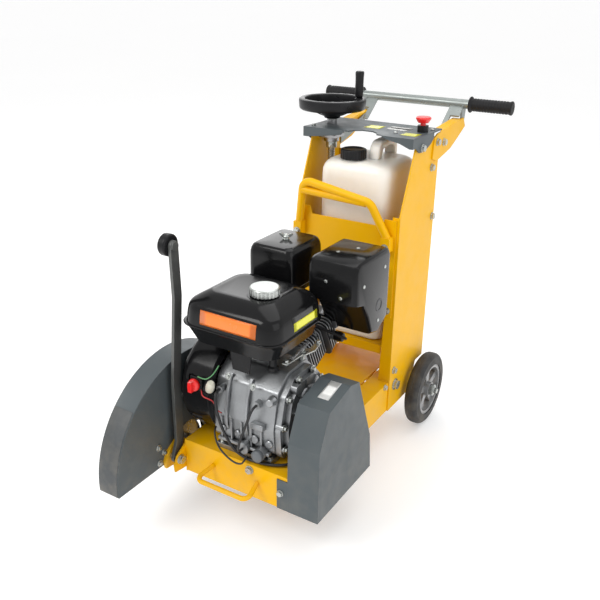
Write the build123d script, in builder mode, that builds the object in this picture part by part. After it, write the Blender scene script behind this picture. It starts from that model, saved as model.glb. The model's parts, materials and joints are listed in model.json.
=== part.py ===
"""Walk-behind concrete saw, as separate pieces in one frame, in millimetres.

Ground is Z = 0. The machine faces -Y and the operator stands at +Y. The blade side is -X, the
belt side +X. The origin is the bottom centre of the whole machine's box.
"""

from build123d import *
import os
from math import atan2, cos, degrees, pi, radians, sin, tan

os.makedirs("parts", exist_ok=True)

# ---------------------------------------------------------------- driving dimensions
# base frame
sheet = 4.0
deck_top = 205.0
deck_bottom = deck_top - sheet
rail_bottom = 113.0
rail_out = 150.0
rail_in = rail_out - sheet
front_y = -375.5
rear_y = 371.0

# columns, tank panel and dashboard
column_out = rail_out + sheet
column_front = 147.0
column_rear = 375.0
column_top = 862.0
slant_start = 683.0
slant_top_y = 221.0
panel_bottom = 416.0
panel_top = 655.0
dash_top = 880.0
shelf_top = 308.0

# handlebar
bar_y = 549.0
bar_z = 920.0
bar_r = 13.0
bar_half = 286.0
grip_r = 18.0
grip_flange_r = 22.5
grip_start = 169.0
grip_end = 292.6

# depth control: handwheel, screw, nut and swinging yoke
screw_x = -125.0
screw_y = 276.0
screw_r = 10.0
screw_low = 112.0
hub_bottom = 893.0
wheel_rim_r = 92.0
wheel_rim_z = 934.0
knob_x = -68.0
knob_y = 321.0
knob_top = 1016.0
yoke_y = 184.0
yoke_z = 184.0
yoke_tube_r = 15.0
yoke_arm_in = 138.0
yoke_arm_out = 144.0
nut_half = 12.4
nut_height = 30.0
trunnion_r = 5.0

# wheels
rear_axle_y = 334.0
rear_axle_z = 110.0
rear_axle_r = 12.5
rear_wheel_r = 110.0
rear_wheel_in = 166.0
rear_wheel_out = 208.0
front_axle_y = -90.0
front_wheel_r = 75.0
front_wheel_in = 96.0
front_wheel_out = 132.0
front_axle_r = 10.0
running_gap = 0.05

# blade side
arbor_y = -315.5
arbor_z = 153.0
arbor_r = 17.5
guard_r = 256.0
guard_in = -187.0
guard_out = -248.5
guard_sheet = 3.0
blade_x = -218.0
blade_bore_r = 12.7

# guide arm
arm_pivot_y = -395.0
arm_pivot_z = 158.0
arm_x = -165.0
arm_thick = 8.0
arm_bolt_r = 6.0
guide_wheel_r = 26.0
guide_wheel_y = -360.0
guide_wheel_z = 697.0

# belt drive
crank_y = -250.0
crank_z = 337.0
crank_r = 12.7
engine_pitch_r = 31.5
arbor_pitch_r = 40.0
belt_planes = (184.0, 196.0)
belt_guard_in = rail_out
belt_guard_out = 230.6

# engine
block_x0, block_x1 = -72.0, 96.0
cover_x1 = 124.0
fan_x0, fan_x1 = -158.0, -72.0
recoil_x0 = -182.0
fan_r = 127.0
tank_x0, tank_x1 = -138.0, 122.0
tank_y0, tank_y1 = -388.0, -168.0
tank_seam = 528.0
fuel_cap_x, fuel_cap_y = 34.0, -293.0
cylinder_tilt = 25.0


# ---------------------------------------------------------------- helpers
def save(piece, name):
    """Labels a finished piece and writes its STEP file."""
    piece.part.label = name
    export_step(piece.part, f"parts/{name}.step")


def plate_yz(outline, x_low, thickness, holes=()):
    """Flat plate with its outline in the YZ plane; holes are (y, z, radius)."""
    with BuildPart() as plate:
        with BuildSketch(Plane.YZ.offset(x_low)):
            with BuildLine():
                Polyline(*outline, close=True)
            make_face()
            for y, z, radius in holes:
                with Locations((y, z)):
                    Circle(radius, mode=Mode.SUBTRACT)
        extrude(amount=thickness)
    return plate.part


def plate_xz(outline, y_high, thickness):
    """Flat plate with its outline in the XZ plane, from y_high forward by its thickness."""
    with BuildPart() as plate:
        with BuildSketch(Plane.XZ.offset(-y_high)):
            with BuildLine():
                Polyline(*outline, close=True)
            make_face()
        extrude(amount=thickness)
    return plate.part


def rod_x(x_low, x_high, y, z, radius):
    """Round bar along X."""
    with BuildPart() as rod:
        with BuildSketch(Plane.YZ.offset(x_low)):
            with Locations((y, z)):
                Circle(radius)
        extrude(amount=x_high - x_low)
    return rod.part


def rod_y(x, z, y_high, length, radius):
    """Round bar along Y, from y_high forward by its length."""
    with BuildPart() as rod:
        with BuildSketch(Plane.XZ.offset(-y_high)):
            with Locations((x, z)):
                Circle(radius)
        extrude(amount=length)
    return rod.part


def rod_z(x, y, z_low, z_high, radius):
    """Round bar along Z."""
    with BuildPart() as rod:
        with BuildSketch(Plane.XY.offset(z_low)):
            with Locations((x, y)):
                Circle(radius)
        extrude(amount=z_high - z_low)
    return rod.part


def rod_between(start, end, radius):
    """Round bar between two points."""
    run = Vector(*end) - Vector(*start)
    with BuildPart() as rod:
        with BuildSketch(Plane(origin=start, z_dir=run)):
            Circle(radius)
        extrude(amount=run.length)
    return rod.part


def box(x0, x1, y0, y1, z0, z1):
    """Plain block between two corners, for pieces that are cut or added to."""
    with BuildPart() as block:
        with Locations(((x0 + x1) / 2, (y0 + y1) / 2, (z0 + z1) / 2)):
            Box(x1 - x0, y1 - y0, z1 - z0)
    return block.part


def bolt(plane, shank_r, length, head_height=0.0):
    """Hex head bolt: the head stands on the plane and the shank goes back into it, with a washer."""
    head = head_height or shank_r * 1.3
    washer = 2.0
    with BuildPart() as piece:
        with BuildSketch(plane):
            Circle(shank_r * 2.1)
        extrude(amount=washer)
        with BuildSketch(plane.offset(washer)):
            RegularPolygon(shank_r * 1.75, 6)
        extrude(amount=head)
        if length:
            with BuildSketch(plane):
                Circle(shank_r)
            extrude(amount=-length)
    return piece.part


def face_plane(x, y, z, normal):
    """Plane at a point, looking along a normal."""
    return Plane(origin=(x, y, z), z_dir=normal)


# ---------------------------------------------------------------- base frame
wheel_arch = [(306, 100), (306, 142), (326, 197.5), (390, 197.5), (390, 100)]
arbor_slot_r = 36.0
slot_x = 91.0
slot_y0, slot_y1 = 90.0, 300.0
yoke_window = (-rail_in, -103.0, 181.0, 321.0)
cable_slots = ((127.0, 147.0, -192.0, -138.0), (116.0, 136.0, 208.0, 244.0))
bracket_in = 136.0


def rail(x_low):
    """Side rail plate with the arbor slot and the wheel arch cut out of it."""
    with BuildPart() as plate:
        with BuildSketch(Plane.YZ.offset(x_low)):
            with BuildLine():
                Polyline((front_y, rail_bottom), (rear_y, rail_bottom), (rear_y, deck_top),
                         (front_y, deck_top), close=True)
            make_face()
            with Locations((arbor_y, arbor_z)):
                Circle(arbor_slot_r, mode=Mode.SUBTRACT)
            with Locations((arbor_y, rail_bottom)):
                Rectangle(2 * arbor_slot_r, 2 * (arbor_z - rail_bottom), mode=Mode.SUBTRACT)
            with BuildLine():
                Polyline(*wheel_arch, close=True)
            make_face(mode=Mode.SUBTRACT)
            with Locations((yoke_y, yoke_z)):
                Circle(8.1, mode=Mode.SUBTRACT)
        extrude(amount=sheet)
    return plate.part


def front_bracket(side):
    """Plate under the deck that holds one end of the front axle."""
    outline = [(front_axle_y - 45, deck_bottom), (front_axle_y + 45, deck_bottom),
               (front_axle_y + 45, 125), (front_axle_y + 18, 58), (front_axle_y - 18, 58),
               (front_axle_y - 45, 125)]
    x_low = bracket_in if side > 0 else -bracket_in - 6
    return plate_yz(outline, x_low, 6, [(front_axle_y, front_wheel_r, front_axle_r)])


with BuildPart() as base_frame:
    add(box(-rail_out, rail_out, front_y, rear_y, deck_bottom, deck_top))
    add(rail(rail_in))
    add(rail(-rail_out))
    add(box(-rail_out, rail_out, front_y, front_y + sheet, 115, deck_top))
    for cross_y in (-10, 120):
        add(box(-100, 100, cross_y, cross_y + sheet, 150, deck_bottom))
    for side in (-1, 1):
        add(front_bracket(side))
        add(box(side * slot_x - 3, side * slot_x + 3, slot_y0, slot_y1, 190, 210), mode=Mode.SUBTRACT)
    window_x0, window_x1, window_y0, window_y1 = yoke_window
    add(box(window_x0, window_x1, window_y0, window_y1, 190, 210), mode=Mode.SUBTRACT)
    for cable_slot in cable_slots:
        add(box(*cable_slot, 190, 210), mode=Mode.SUBTRACT)
    # folded gusset and welded nut for the engine slide, behind the front plate
    add(box(40, 72, front_y + sheet, front_y + 34, deck_bottom - 40, deck_bottom))
save(base_frame, "base_frame")

# front lifting handle: a bent rod welded to the front plate
handle_rod_r = 6.0
handle_path = [(-64, front_y, 160), (-75, -431, 150), (75, -431, 150), (64, front_y, 160)]
with BuildPart() as front_handle:
    with BuildLine() as handle_line:
        FilletPolyline(*handle_path, radius=16)
    with BuildSketch(Plane(origin=handle_line.line @ 0, z_dir=handle_line.line % 0)):
        Circle(handle_rod_r)
    sweep()
    add(box(-100, 100, front_y, front_y + 30, 100, 200), mode=Mode.SUBTRACT)
save(front_handle, "front_handle")

# bracket with two ears that holds the guide arm, welded beside the front plate
ear_low, ear_high = 122.0, 192.0
ear_outline = [(-356, ear_low), (-415, ear_low + 8), (-418, 150), (-406, 172), (-371, ear_high),
               (-356, ear_high)]
with BuildPart() as pointer_bracket:
    add(plate_yz(ear_outline, -154, 4, [(arm_pivot_y, arm_pivot_z, arm_bolt_r)]))
    add(plate_yz(ear_outline, guard_in, 8, [(arm_pivot_y, arm_pivot_z, arm_bolt_r)]))
    add(box(guard_in, -rail_out, -362, -356, ear_low, ear_high))
save(pointer_bracket, "pointer_bracket")

# ---------------------------------------------------------------- columns
flange_wide, flange_narrow = 32.0, 17.0
rear_flange = 18.0


def column(side):
    """One bent side column: side panel, front flange that narrows upward, and rear flange."""
    outline = [(column_front, rail_bottom), (306, rail_bottom), (306, 142), (326, 197.5),
               (column_rear, 197.5), (column_rear, 800), (340, column_top),
               (slant_top_y, column_top), (column_front, slant_start)]
    x_low = rail_out if side > 0 else -column_out
    panel = plate_yz(outline, x_low, sheet, [(yoke_y, yoke_z, 8.1)])
    inner = side * rail_out
    front = [(inner, deck_top + 0.2), (inner - side * flange_wide, deck_top + 0.2),
             (inner - side * flange_narrow, 570), (inner - side * flange_narrow, slant_start),
             (inner, slant_start)]
    front_flange = plate_xz(front, column_front + sheet, sheet)
    rear = [(inner, 215), (inner - side * rear_flange, 215),
            (inner - side * rear_flange, 790), (inner, 790)]
    rear_plate = plate_xz(rear, column_rear, sheet)
    with BuildPart() as piece:
        add(panel)
        add(front_flange)
        add(rear_plate)
    return piece


column_left = column(-1)
save(column_left, "column_left")
column_right = column(1)
save(column_right, "column_right")

# tank panel between the columns, with a raised ear at each top corner and a tab at the bottom
ear_in = 106.0
panel_half = 146.0
with BuildPart() as front_plate:
    with BuildSketch(Plane.XZ.offset(-column_front)):
        with BuildLine():
            Polyline((-panel_half, 404), (-112, 404), (-100, panel_bottom), (100, panel_bottom),
                     (112, 404), (panel_half, 404), (panel_half, 676), (112, 676),
                     (ear_in, panel_top), (-ear_in, panel_top), (-112, 676),
                     (-panel_half, 676), close=True)
        make_face()
    extrude(amount=sheet)
save(front_plate, "front_plate")

# shelf that carries the water tank, hung between the columns
shelf_hole_r = 16.0
with BuildPart() as tank_shelf:
    add(box(-rail_out, rail_out, 156, 364, shelf_top - sheet, shelf_top))
    add(box(-116, 116, 156, 156 + 3, shelf_top - 26, shelf_top - sheet))
    add(box(-rail_out, -rail_out + 3, 170, 350, shelf_top - 30, shelf_top - sheet))
    add(box(rail_out - 3, rail_out, 170, 350, shelf_top - 30, shelf_top - sheet))
    add(rod_z(screw_x, screw_y, 290, 320, shelf_hole_r), mode=Mode.SUBTRACT)
    add(box(116, 136, 230, 264, 290, 320), mode=Mode.SUBTRACT)
    add(rod_z(-60, 330, 290, 320, 14), mode=Mode.SUBTRACT)
save(tank_shelf, "tank_shelf")

# ---------------------------------------------------------------- dashboard
dash_half = 160.0
dash_front = 182.0
dash_rise_y = 270.0
dash_rear_y = 372.0
dash_rear_z = 878.0
dash_low = 854.0


def dash_profile(thick):
    """Side outline of the bent dashboard: front flange, sloping panel, level rear."""
    return [(dash_front, dash_low), (dash_front + thick, dash_low),
            (dash_front + thick, dash_top - thick),
            (dash_rise_y, dash_rear_z - thick), (dash_rear_y, dash_rear_z - thick),
            (dash_rear_y, dash_rear_z), (dash_rise_y, dash_rear_z), (dash_front, dash_top)]


dash_cheek = [(dash_front, dash_low), (200, dash_low), (226, 838), (258, 836), (300, 850),
              (318, 862), (318, dash_rear_z - 2), (dash_rise_y, dash_rear_z - 2),
              (dash_front + 3, dash_top - 2)]
dash_notch = [(-34, 170), (-22, 212), (-6, 228), (24, 228), (44, 212), (62, 170)]
estop_x, estop_y = 134.0, 300.0
with BuildPart() as dashboard:
    with BuildSketch(Plane.YZ.offset(-dash_half)):
        with BuildLine():
            Polyline(*dash_profile(3.0), close=True)
        make_face()
    extrude(amount=2 * dash_half)
    add(plate_yz(dash_cheek, -dash_half, 3))
    add(plate_yz(dash_cheek, dash_half - 3, 3))
    # arched cut-out of the front flange over the filler cap
    with BuildSketch(Plane.XZ.offset(-dash_front - 10)):
        with BuildLine():
            Polyline((-152, 850), (-146, dash_low), (-94, 861), (-46, 869), (-30, 885), (58, 885),
                     (84, 872), (122, 865), (150, dash_low), (152, 850), close=True)
        make_face()
    extrude(amount=30, mode=Mode.SUBTRACT)
    # the panel's edge is cut back above the filler cap
    with BuildSketch(Plane.XY.offset(860)):
        with BuildLine():
            Polyline(*dash_notch, close=True)
        make_face()
    extrude(amount=30, mode=Mode.SUBTRACT)
    add(rod_z(screw_x, screw_y, 860, 900, 14), mode=Mode.SUBTRACT)
    add(rod_z(estop_x, estop_y, 860, 900, 11.2), mode=Mode.SUBTRACT)
save(dashboard, "dashboard")

# ---------------------------------------------------------------- handle arms and handlebar
arm_outline = [(324, 804), (330, 860), (350, 868), (374, 870), (392, 872), (538, 884),
               (556, 858), (504, 834), (452, 812), (380, 798), (352, 794)]
arm_out = column_out + sheet


def handle_arm(side):
    """Side arm plate outside the column, with an inward flange along its top."""
    x_low = column_out if side > 0 else -arm_out
    flange_low = column_out - 24 if side > 0 else -column_out
    with BuildPart() as arm:
        add(plate_yz(arm_outline, x_low, sheet))
        add(plate_yz([(392, 872), (526, 883), (526, 879), (392, 868)], flange_low, 24))
    return arm.part


with BuildPart() as handle_arms:
    for side in (-1, 1):
        add(handle_arm(side))
save(handle_arms, "handle_arms")

# two flat posts welded to the tube that runs between the grips
post_outline = [(bar_y - 17, bar_z - 4), (bar_y + 14, bar_z - 4), (bar_y + 4, 862), (500, 836),
                (379, 802), (379, 834), (470, 851), (bar_y - 20, 870)]
post_face_high = [(540, 916), (508, 892), (511, 888), (544, 913)]
post_face_low = [(508, 892), (472, 864), (475, 860), (511, 888)]
with BuildPart() as handlebar:
    add(rod_x(-bar_half, bar_half, bar_y, bar_z, bar_r))
    for side in (-1, 1):
        post_low = column_out - sheet if side > 0 else -column_out
        add(plate_yz(post_outline, post_low, sheet))
        # broad front face of the post, cut narrower where it passes the arm's flange
        add(plate_yz(post_face_high, 115 if side > 0 else -column_out, column_out - 115))
        add(plate_yz(post_face_low, 115 if side > 0 else -129, 14))
save(handlebar, "handlebar")


def grip(side):
    """Rubber grip: sleeve with an inner flange, a bead and a closed end."""
    profile = [(grip_start, bar_r), (grip_start, grip_flange_r), (grip_start + 4, grip_flange_r),
               (grip_start + 7, grip_r), (grip_end - 6, grip_r), (grip_end - 3, grip_r + 1.5),
               (grip_end, grip_r - 2), (grip_end, 0), (bar_half, 0), (bar_half, bar_r)]
    with BuildPart() as sleeve:
        with BuildSketch(Plane.XZ.offset(-bar_y)):
            with BuildLine():
                Polyline(*[(side * x, bar_z + r) for x, r in profile], close=True)
            make_face()
        revolve(axis=Axis((0, bar_y, bar_z), (1, 0, 0)))
    return sleeve.part


with BuildPart() as handlebar_grips:
    for side in (-1, 1):
        add(grip(side))
save(handlebar_grips, "handlebar_grips")

# ---------------------------------------------------------------- lifting bail
bail_r = 11.0
bail_loop = [(-138, 131, 626), (-114, 110, 756), (84, 112, 722), (129, 131, 626)]
bail_lower = [(-116, 111, 728), (72, 112, 719)]
with BuildPart() as lifting_bail:
    with BuildLine() as bail_line:
        FilletPolyline(*bail_loop, radius=28)
    with BuildSketch(Plane(origin=bail_line.line @ 0, z_dir=bail_line.line % 0)):
        Circle(bail_r)
    sweep()
    add(rod_between(*bail_lower, bail_r - 1))
    # flattened feet against the tank panel
    for foot_x in (-137, 128):
        add(box(foot_x - 12, foot_x + 12, 117, column_front - sheet, 596, 634))
    add(box(-200, 200, column_front - sheet, 200, 560, 800), mode=Mode.SUBTRACT)
save(lifting_bail, "lifting_bail")

# ---------------------------------------------------------------- water tank
tank_half = 102.0
tank_front, tank_back = 168.0, 368.0
tank_high = 803.0
tank_wall = 6.0
filler_x, filler_y = -22.0, 214.0
filler_r = 26.0
filler_bore_r = 22.0
filler_seat_r = 30.0
cap_r = 35.0
with BuildPart() as water_tank:
    with Locations((0, (tank_front + tank_back) / 2, (shelf_top + tank_high) / 2)):
        Box(2 * tank_half, tank_back - tank_front, tank_high - shelf_top)
    fillet(water_tank.edges().filter_by(Axis.Z), 15)
    fillet(water_tank.faces().sort_by(Axis.Z)[-1].edges(), 12)
    fillet(water_tank.faces().sort_by(Axis.Z)[0].edges(), 10)
    # moulded carrying handle over the back half of the tank
    with BuildSketch(Plane.YZ.offset(10)):
        with BuildLine():
            Polyline((236, tank_high - 6), (250, 846), (340, 852), (356, tank_high - 6), close=True)
        make_face()
    extrude(amount=30)
    with BuildSketch(Plane.YZ.offset(5)):
        with BuildLine():
            Polyline((262, tank_high + 3), (270, 828), (328, 832), (336, tank_high + 3), close=True)
        make_face()
    extrude(amount=40, mode=Mode.SUBTRACT)
    # hollow inside, open where the filler neck is welded in
    with Locations((0, (tank_front + tank_back) / 2, (shelf_top + tank_high) / 2)):
        Box(2 * (tank_half - tank_wall), tank_back - tank_front - 2 * tank_wall,
            tank_high - shelf_top - 16, mode=Mode.SUBTRACT)
    add(rod_z(filler_x, filler_y, tank_high - 40, tank_high + 30, filler_seat_r), mode=Mode.SUBTRACT)
    # threaded outlet through the floor, where the tap screws in
    add(rod_z(-60, 330, shelf_top - 10, shelf_top + 30, 10), mode=Mode.SUBTRACT)
save(water_tank, "water_tank")

with BuildPart() as filler_neck:
    add(rod_z(filler_x, filler_y, tank_high - 10, tank_high, filler_seat_r))
    add(rod_z(filler_x, filler_y, tank_high - 10, tank_high + 22, filler_r))
    add(rod_z(filler_x, filler_y, tank_high - 20, tank_high + 30, filler_bore_r), mode=Mode.SUBTRACT)
save(filler_neck, "filler_neck")

with BuildPart() as tank_cap:
    add(rod_z(filler_x, filler_y, tank_high + 2, tank_high + 28, cap_r))
    fillet(tank_cap.faces().sort_by(Axis.Z)[-1].edges(), 5)
    with BuildSketch(Plane.XY.offset(tank_high)):
        with Locations((filler_x, filler_y)):
            with PolarLocations(cap_r + 0.6, 18):
                Circle(2.2)
    extrude(amount=30, mode=Mode.SUBTRACT)
    add(rod_z(filler_x, filler_y, tank_high, tank_high + 23, filler_r + 0.3), mode=Mode.SUBTRACT)
save(tank_cap, "tank_cap")

tap_x, tap_y = -60.0, 330.0
tap_z = shelf_top - 34
with BuildPart() as water_tap:
    add(rod_z(tap_x, tap_y, tap_z - 12, shelf_top + 12, 9.9))
    add(rod_z(tap_x, tap_y, tap_z - 20, tap_z + 8, 14))
    add(rod_y(tap_x, tap_z, tap_y + 52, 52, 7))
    add(rod_y(tap_x, tap_z, tap_y + 18, 6, 10))
    add(rod_x(tap_x - 22, tap_x, tap_y, tap_z, 6))
save(water_tap, "water_tap")

with BuildPart() as tap_lever:
    add(rod_x(tap_x - 30, tap_x - 22.3, tap_y, tap_z, 10))
    add(box(tap_x - 30, tap_x - 25, tap_y - 6, tap_y + 6, tap_z - 52, tap_z))
    fillet(tap_lever.edges().filter_by(Axis.X).group_by(Axis.Z)[0], 5)
save(tap_lever, "tap_lever")

# ---------------------------------------------------------------- emergency stop
estop_z = dash_rear_z
with BuildPart() as estop_base:
    add(rod_z(estop_x, estop_y, estop_z, estop_z + 17, 14.5))
    add(rod_z(estop_x, estop_y, estop_z - 10, estop_z, 11))
    add(box(estop_x - 14, estop_x + 14, estop_y - 14, estop_y + 14, estop_z - 40, estop_z - 3))
    add(rod_z(estop_x, estop_y, estop_z - 12, estop_z + 20, 7.05), mode=Mode.SUBTRACT)
save(estop_base, "estop_base")

with BuildPart() as estop_button:
    add(rod_z(estop_x, estop_y, estop_z - 2, estop_z + 26, 7))
    with BuildSketch(Plane.XY.offset(estop_z + 24)):
        with Locations((estop_x, estop_y)):
            Circle(14)
    with BuildSketch(Plane.XY.offset(estop_z + 34)):
        with Locations((estop_x, estop_y)):
            Circle(20)
    loft()
    add(rod_z(estop_x, estop_y, estop_z + 34, estop_z + 39, 20))
    fillet(estop_button.faces().sort_by(Axis.Z)[-1].edges(), 3)
save(estop_button, "estop_button")

# ---------------------------------------------------------------- depth control
bearing_r = 21.0
with BuildPart() as screw_bearing:
    # flanged bearing under the dashboard, carried by a cross plate
    add(rod_z(screw_x, screw_y, 842, hub_bottom - 3, 13.8))
    add(box(-150, -100, screw_y - 28, screw_y + 28, 842, 850))
    add(rod_z(screw_x, screw_y, 830, 842, bearing_r))
    add(rod_z(screw_x, screw_y, 820, 900, screw_r + running_gap), mode=Mode.SUBTRACT)
save(screw_bearing, "screw_bearing")

with BuildPart() as lifting_screw:
    add(rod_z(screw_x, screw_y, screw_low, hub_bottom + 28, screw_r))
    add(rod_z(screw_x, screw_y, 812, 829.7, 12.5))
    add(rod_z(screw_x, screw_y, hub_bottom - 2.7, hub_bottom, 13))
save(lifting_screw, "lifting_screw")

spoke_count = 3
with BuildPart() as handwheel:
    # dished wheel: hub, three spokes that rise outward, and a round rim
    add(rod_z(screw_x, screw_y, hub_bottom, hub_bottom + 34, 20))
    with BuildSketch(Plane.XZ.offset(-screw_y)):
        with Locations((screw_x + wheel_rim_r - 9, wheel_rim_z)):
            Ellipse(8, 9)
    revolve(axis=Axis((screw_x, screw_y, 0), (0, 0, 1)))
    with BuildSketch(Plane.XZ.offset(-screw_y)):
        with BuildLine():
            Polyline((screw_x + 18, hub_bottom + 6), (screw_x + wheel_rim_r - 12, wheel_rim_z - 6),
                     (screw_x + wheel_rim_r - 12, wheel_rim_z + 2), (screw_x + 18, hub_bottom + 18),
                     close=True)
        make_face()
    revolve(axis=Axis((screw_x, screw_y, 0), (0, 0, 1)))
    with BuildSketch(Plane.XY.offset(hub_bottom)):
        with Locations((screw_x, screw_y)):
            with PolarLocations(48, spoke_count):
                SlotOverall(56, 34, rotation=90)
    extrude(amount=60, mode=Mode.SUBTRACT)
    add(rod_z(screw_x, screw_y, hub_bottom - 1, hub_bottom + 28, screw_r), mode=Mode.SUBTRACT)
    # boss and threaded seat for the knob's spindle
    add(rod_z(knob_x, knob_y, wheel_rim_z - 10, wheel_rim_z + 12, 10))
    add(rod_z(knob_x, knob_y, wheel_rim_z - 12, knob_top - 8, 4))
save(handwheel, "handwheel")

with BuildPart() as handwheel_knob:
    with BuildSketch(Plane.XZ.offset(-knob_y)):
        with BuildLine():
            Polyline((knob_x, wheel_rim_z + 13), (knob_x + 9, wheel_rim_z + 13),
                     (knob_x + 12, wheel_rim_z + 30), (knob_x + 11, knob_top - 20),
                     (knob_x + 12, knob_top - 4), (knob_x + 9, knob_top), (knob_x, knob_top),
                     close=True)
        make_face()
    revolve(axis=Axis((knob_x, knob_y, 0), (0, 0, 1)))
    add(rod_z(knob_x, knob_y, wheel_rim_z, knob_top - 7.7, 4 + running_gap), mode=Mode.SUBTRACT)
save(handwheel_knob, "handwheel_knob")

with BuildPart() as lift_nut:
    add(box(screw_x - nut_half, screw_x + nut_half, screw_y - 14, screw_y + 14,
            yoke_z - nut_height / 2, yoke_z + nut_height / 2))
    add(rod_x(screw_x - nut_half - 6, screw_x + nut_half + 6, screw_y, yoke_z, trunnion_r))
    add(rod_z(screw_x, screw_y, 160, 210, screw_r + running_gap), mode=Mode.SUBTRACT)
save(lift_nut, "lift_nut")

arm_slope = atan2(rear_axle_z - yoke_z, rear_axle_y - yoke_y)
lug_slot = (yoke_y + 96.5, yoke_z)


def yoke_arm(x_low):
    """Flat arm from the pivot tube to the rear axle."""
    length = ((rear_axle_y - yoke_y) ** 2 + (rear_axle_z - yoke_z) ** 2) ** 0.5
    middle = ((yoke_y + rear_axle_y) / 2, (yoke_z + rear_axle_z) / 2)
    with BuildPart() as arm:
        with BuildSketch(Plane.YZ.offset(x_low)):
            with Locations(middle):
                SlotCenterToCenter(length, 2 * yoke_tube_r, rotation=degrees(arm_slope))
            with Locations((rear_axle_y, rear_axle_z)):
                Circle(18)
                Circle(rear_axle_r, mode=Mode.SUBTRACT)
        extrude(amount=yoke_arm_out - yoke_arm_in)
    return arm.part


def yoke_lug(x_low):
    """Slotted ear that the nut's trunnion pin lifts."""
    with BuildPart() as lug:
        with BuildSketch(Plane.YZ.offset(x_low)):
            with Locations((yoke_y + 60, yoke_z)):
                SlotOverall(150, 30)
            with Locations(lug_slot):
                SlotCenterToCenter(14, 2 * trunnion_r + 4.4, mode=Mode.SUBTRACT)
        extrude(amount=6)
    return lug.part


with BuildPart() as rear_yoke:
    add(rod_x(-yoke_arm_out, yoke_arm_out, yoke_y, yoke_z, yoke_tube_r))
    for arm_low in (-yoke_arm_out, yoke_arm_in):
        add(yoke_arm(arm_low))
    for lug_low in (-yoke_arm_out, -112):
        add(yoke_lug(lug_low))
    # tie bar between the arms, ahead of the axle
    tie_y, tie_z = yoke_y + 140 * cos(arm_slope), yoke_z + 140 * sin(arm_slope)
    add(rod_x(-yoke_arm_out, yoke_arm_out, tie_y, tie_z, 9))
    add(rod_x(-200, 200, yoke_y, yoke_z, 8 + running_gap), mode=Mode.SUBTRACT)
    for lug_low in (-yoke_arm_out, -112):
        with BuildSketch(Plane.YZ.offset(lug_low)):
            with Locations(lug_slot):
                SlotCenterToCenter(14, 2 * trunnion_r + 4.4)
        extrude(amount=6, mode=Mode.SUBTRACT)
save(rear_yoke, "rear_yoke")

with BuildPart() as rear_axle:
    add(rod_x(-rear_wheel_out - 12, rear_wheel_out + 12, rear_axle_y, rear_axle_z, rear_axle_r))
    for side in (-1, 1):
        collar = sorted((side * (yoke_arm_out + 0.0), side * (rear_wheel_in - 1)))
        add(rod_x(*collar, rear_axle_y, rear_axle_z, 16))
        nut = sorted((side * (rear_wheel_out + 1), side * (rear_wheel_out + 10)))
        add(rod_x(*nut, rear_axle_y, rear_axle_z, 17))
save(rear_axle, "rear_axle")

# ---------------------------------------------------------------- wheels
hub_spokes = 5
rim_outer, rim_inner, hub_r = 78.0, 68.0, 22.0
wheel_width = rear_wheel_out - rear_wheel_in


def rear_hub(side):
    """Cast wheel centre: rim, five spokes and a bored hub."""
    x_low = rear_wheel_in if side > 0 else -rear_wheel_out
    with BuildPart() as hub:
        with BuildSketch(Plane.YZ.offset(x_low + 3)):
            with Locations((rear_axle_y, rear_axle_z)):
                Circle(rim_outer)
                Circle(rim_inner, mode=Mode.SUBTRACT)
        extrude(amount=wheel_width - 6)
        with BuildSketch(Plane.YZ.offset(x_low)):
            with Locations((rear_axle_y, rear_axle_z)):
                Circle(hub_r)
        extrude(amount=wheel_width)
        with BuildSketch(Plane.YZ.offset(x_low + 12)):
            with Locations((rear_axle_y, rear_axle_z)):
                with PolarLocations((hub_r + rim_inner) / 2, hub_spokes, start_angle=90):
                    Rectangle(rim_inner - hub_r + 6, 20)
        extrude(amount=wheel_width - 24)
        with BuildSketch(Plane.YZ.offset(x_low)):
            with Locations((rear_axle_y, rear_axle_z)):
                Circle(rear_axle_r + running_gap)
        extrude(amount=wheel_width, mode=Mode.SUBTRACT)
    return hub


def tyre(side, inner_x, outer_x, y, z, outer_r, bore_r):
    """Solid rubber tyre, with rounded shoulders, on a rim of radius bore_r."""
    x_low = inner_x if side > 0 else -outer_x
    width = outer_x - inner_x
    with BuildPart() as ring:
        with BuildSketch(Plane.YZ.offset(x_low)):
            with Locations((y, z)):
                Circle(outer_r)
        extrude(amount=width)
        fillet(ring.edges().filter_by(GeomType.CIRCLE), width * 0.2)
        with BuildSketch(Plane.YZ.offset(x_low)):
            with Locations((y, z)):
                Circle(bore_r)
        extrude(amount=width, mode=Mode.SUBTRACT)
    return ring


rear_hub_left, rear_hub_right = rear_hub(-1), rear_hub(1)
save(rear_hub_left, "rear_hub_left")
save(rear_hub_right, "rear_hub_right")
rear_tyre_left, rear_tyre_right = (
    tyre(side, rear_wheel_in, rear_wheel_out, rear_axle_y, rear_axle_z, rear_wheel_r, rim_outer)
    for side in (-1, 1))
save(rear_tyre_left, "rear_tyre_left")
save(rear_tyre_right, "rear_tyre_right")

with BuildPart() as front_axle:
    add(rod_x(-146, 146, front_axle_y, front_wheel_r, front_axle_r))
    for side in (-1, 1):
        for collar_x in (front_wheel_in - 5, front_wheel_out + 1):
            collar = sorted((side * collar_x, side * (collar_x + 3)))
            add(rod_x(*collar, front_axle_y, front_wheel_r, 15))
save(front_axle, "front_axle")


def front_wheel(side):
    """Small solid wheel: polyamide centre with a bonded tread, made as one moulding."""
    wheel = tyre(side, front_wheel_in, front_wheel_out, front_axle_y, front_wheel_r,
                 front_wheel_r, front_axle_r + running_gap)
    x_face = front_wheel_out if side > 0 else -front_wheel_out
    with BuildPart() as piece:
        add(wheel.part)
        with BuildSketch(Plane.YZ.offset(x_face - side * 8)):
            with Locations((front_axle_y, front_wheel_r)):
                Circle(52)
                Circle(20, mode=Mode.SUBTRACT)
        extrude(amount=side * 8, mode=Mode.SUBTRACT)
    return piece


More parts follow.
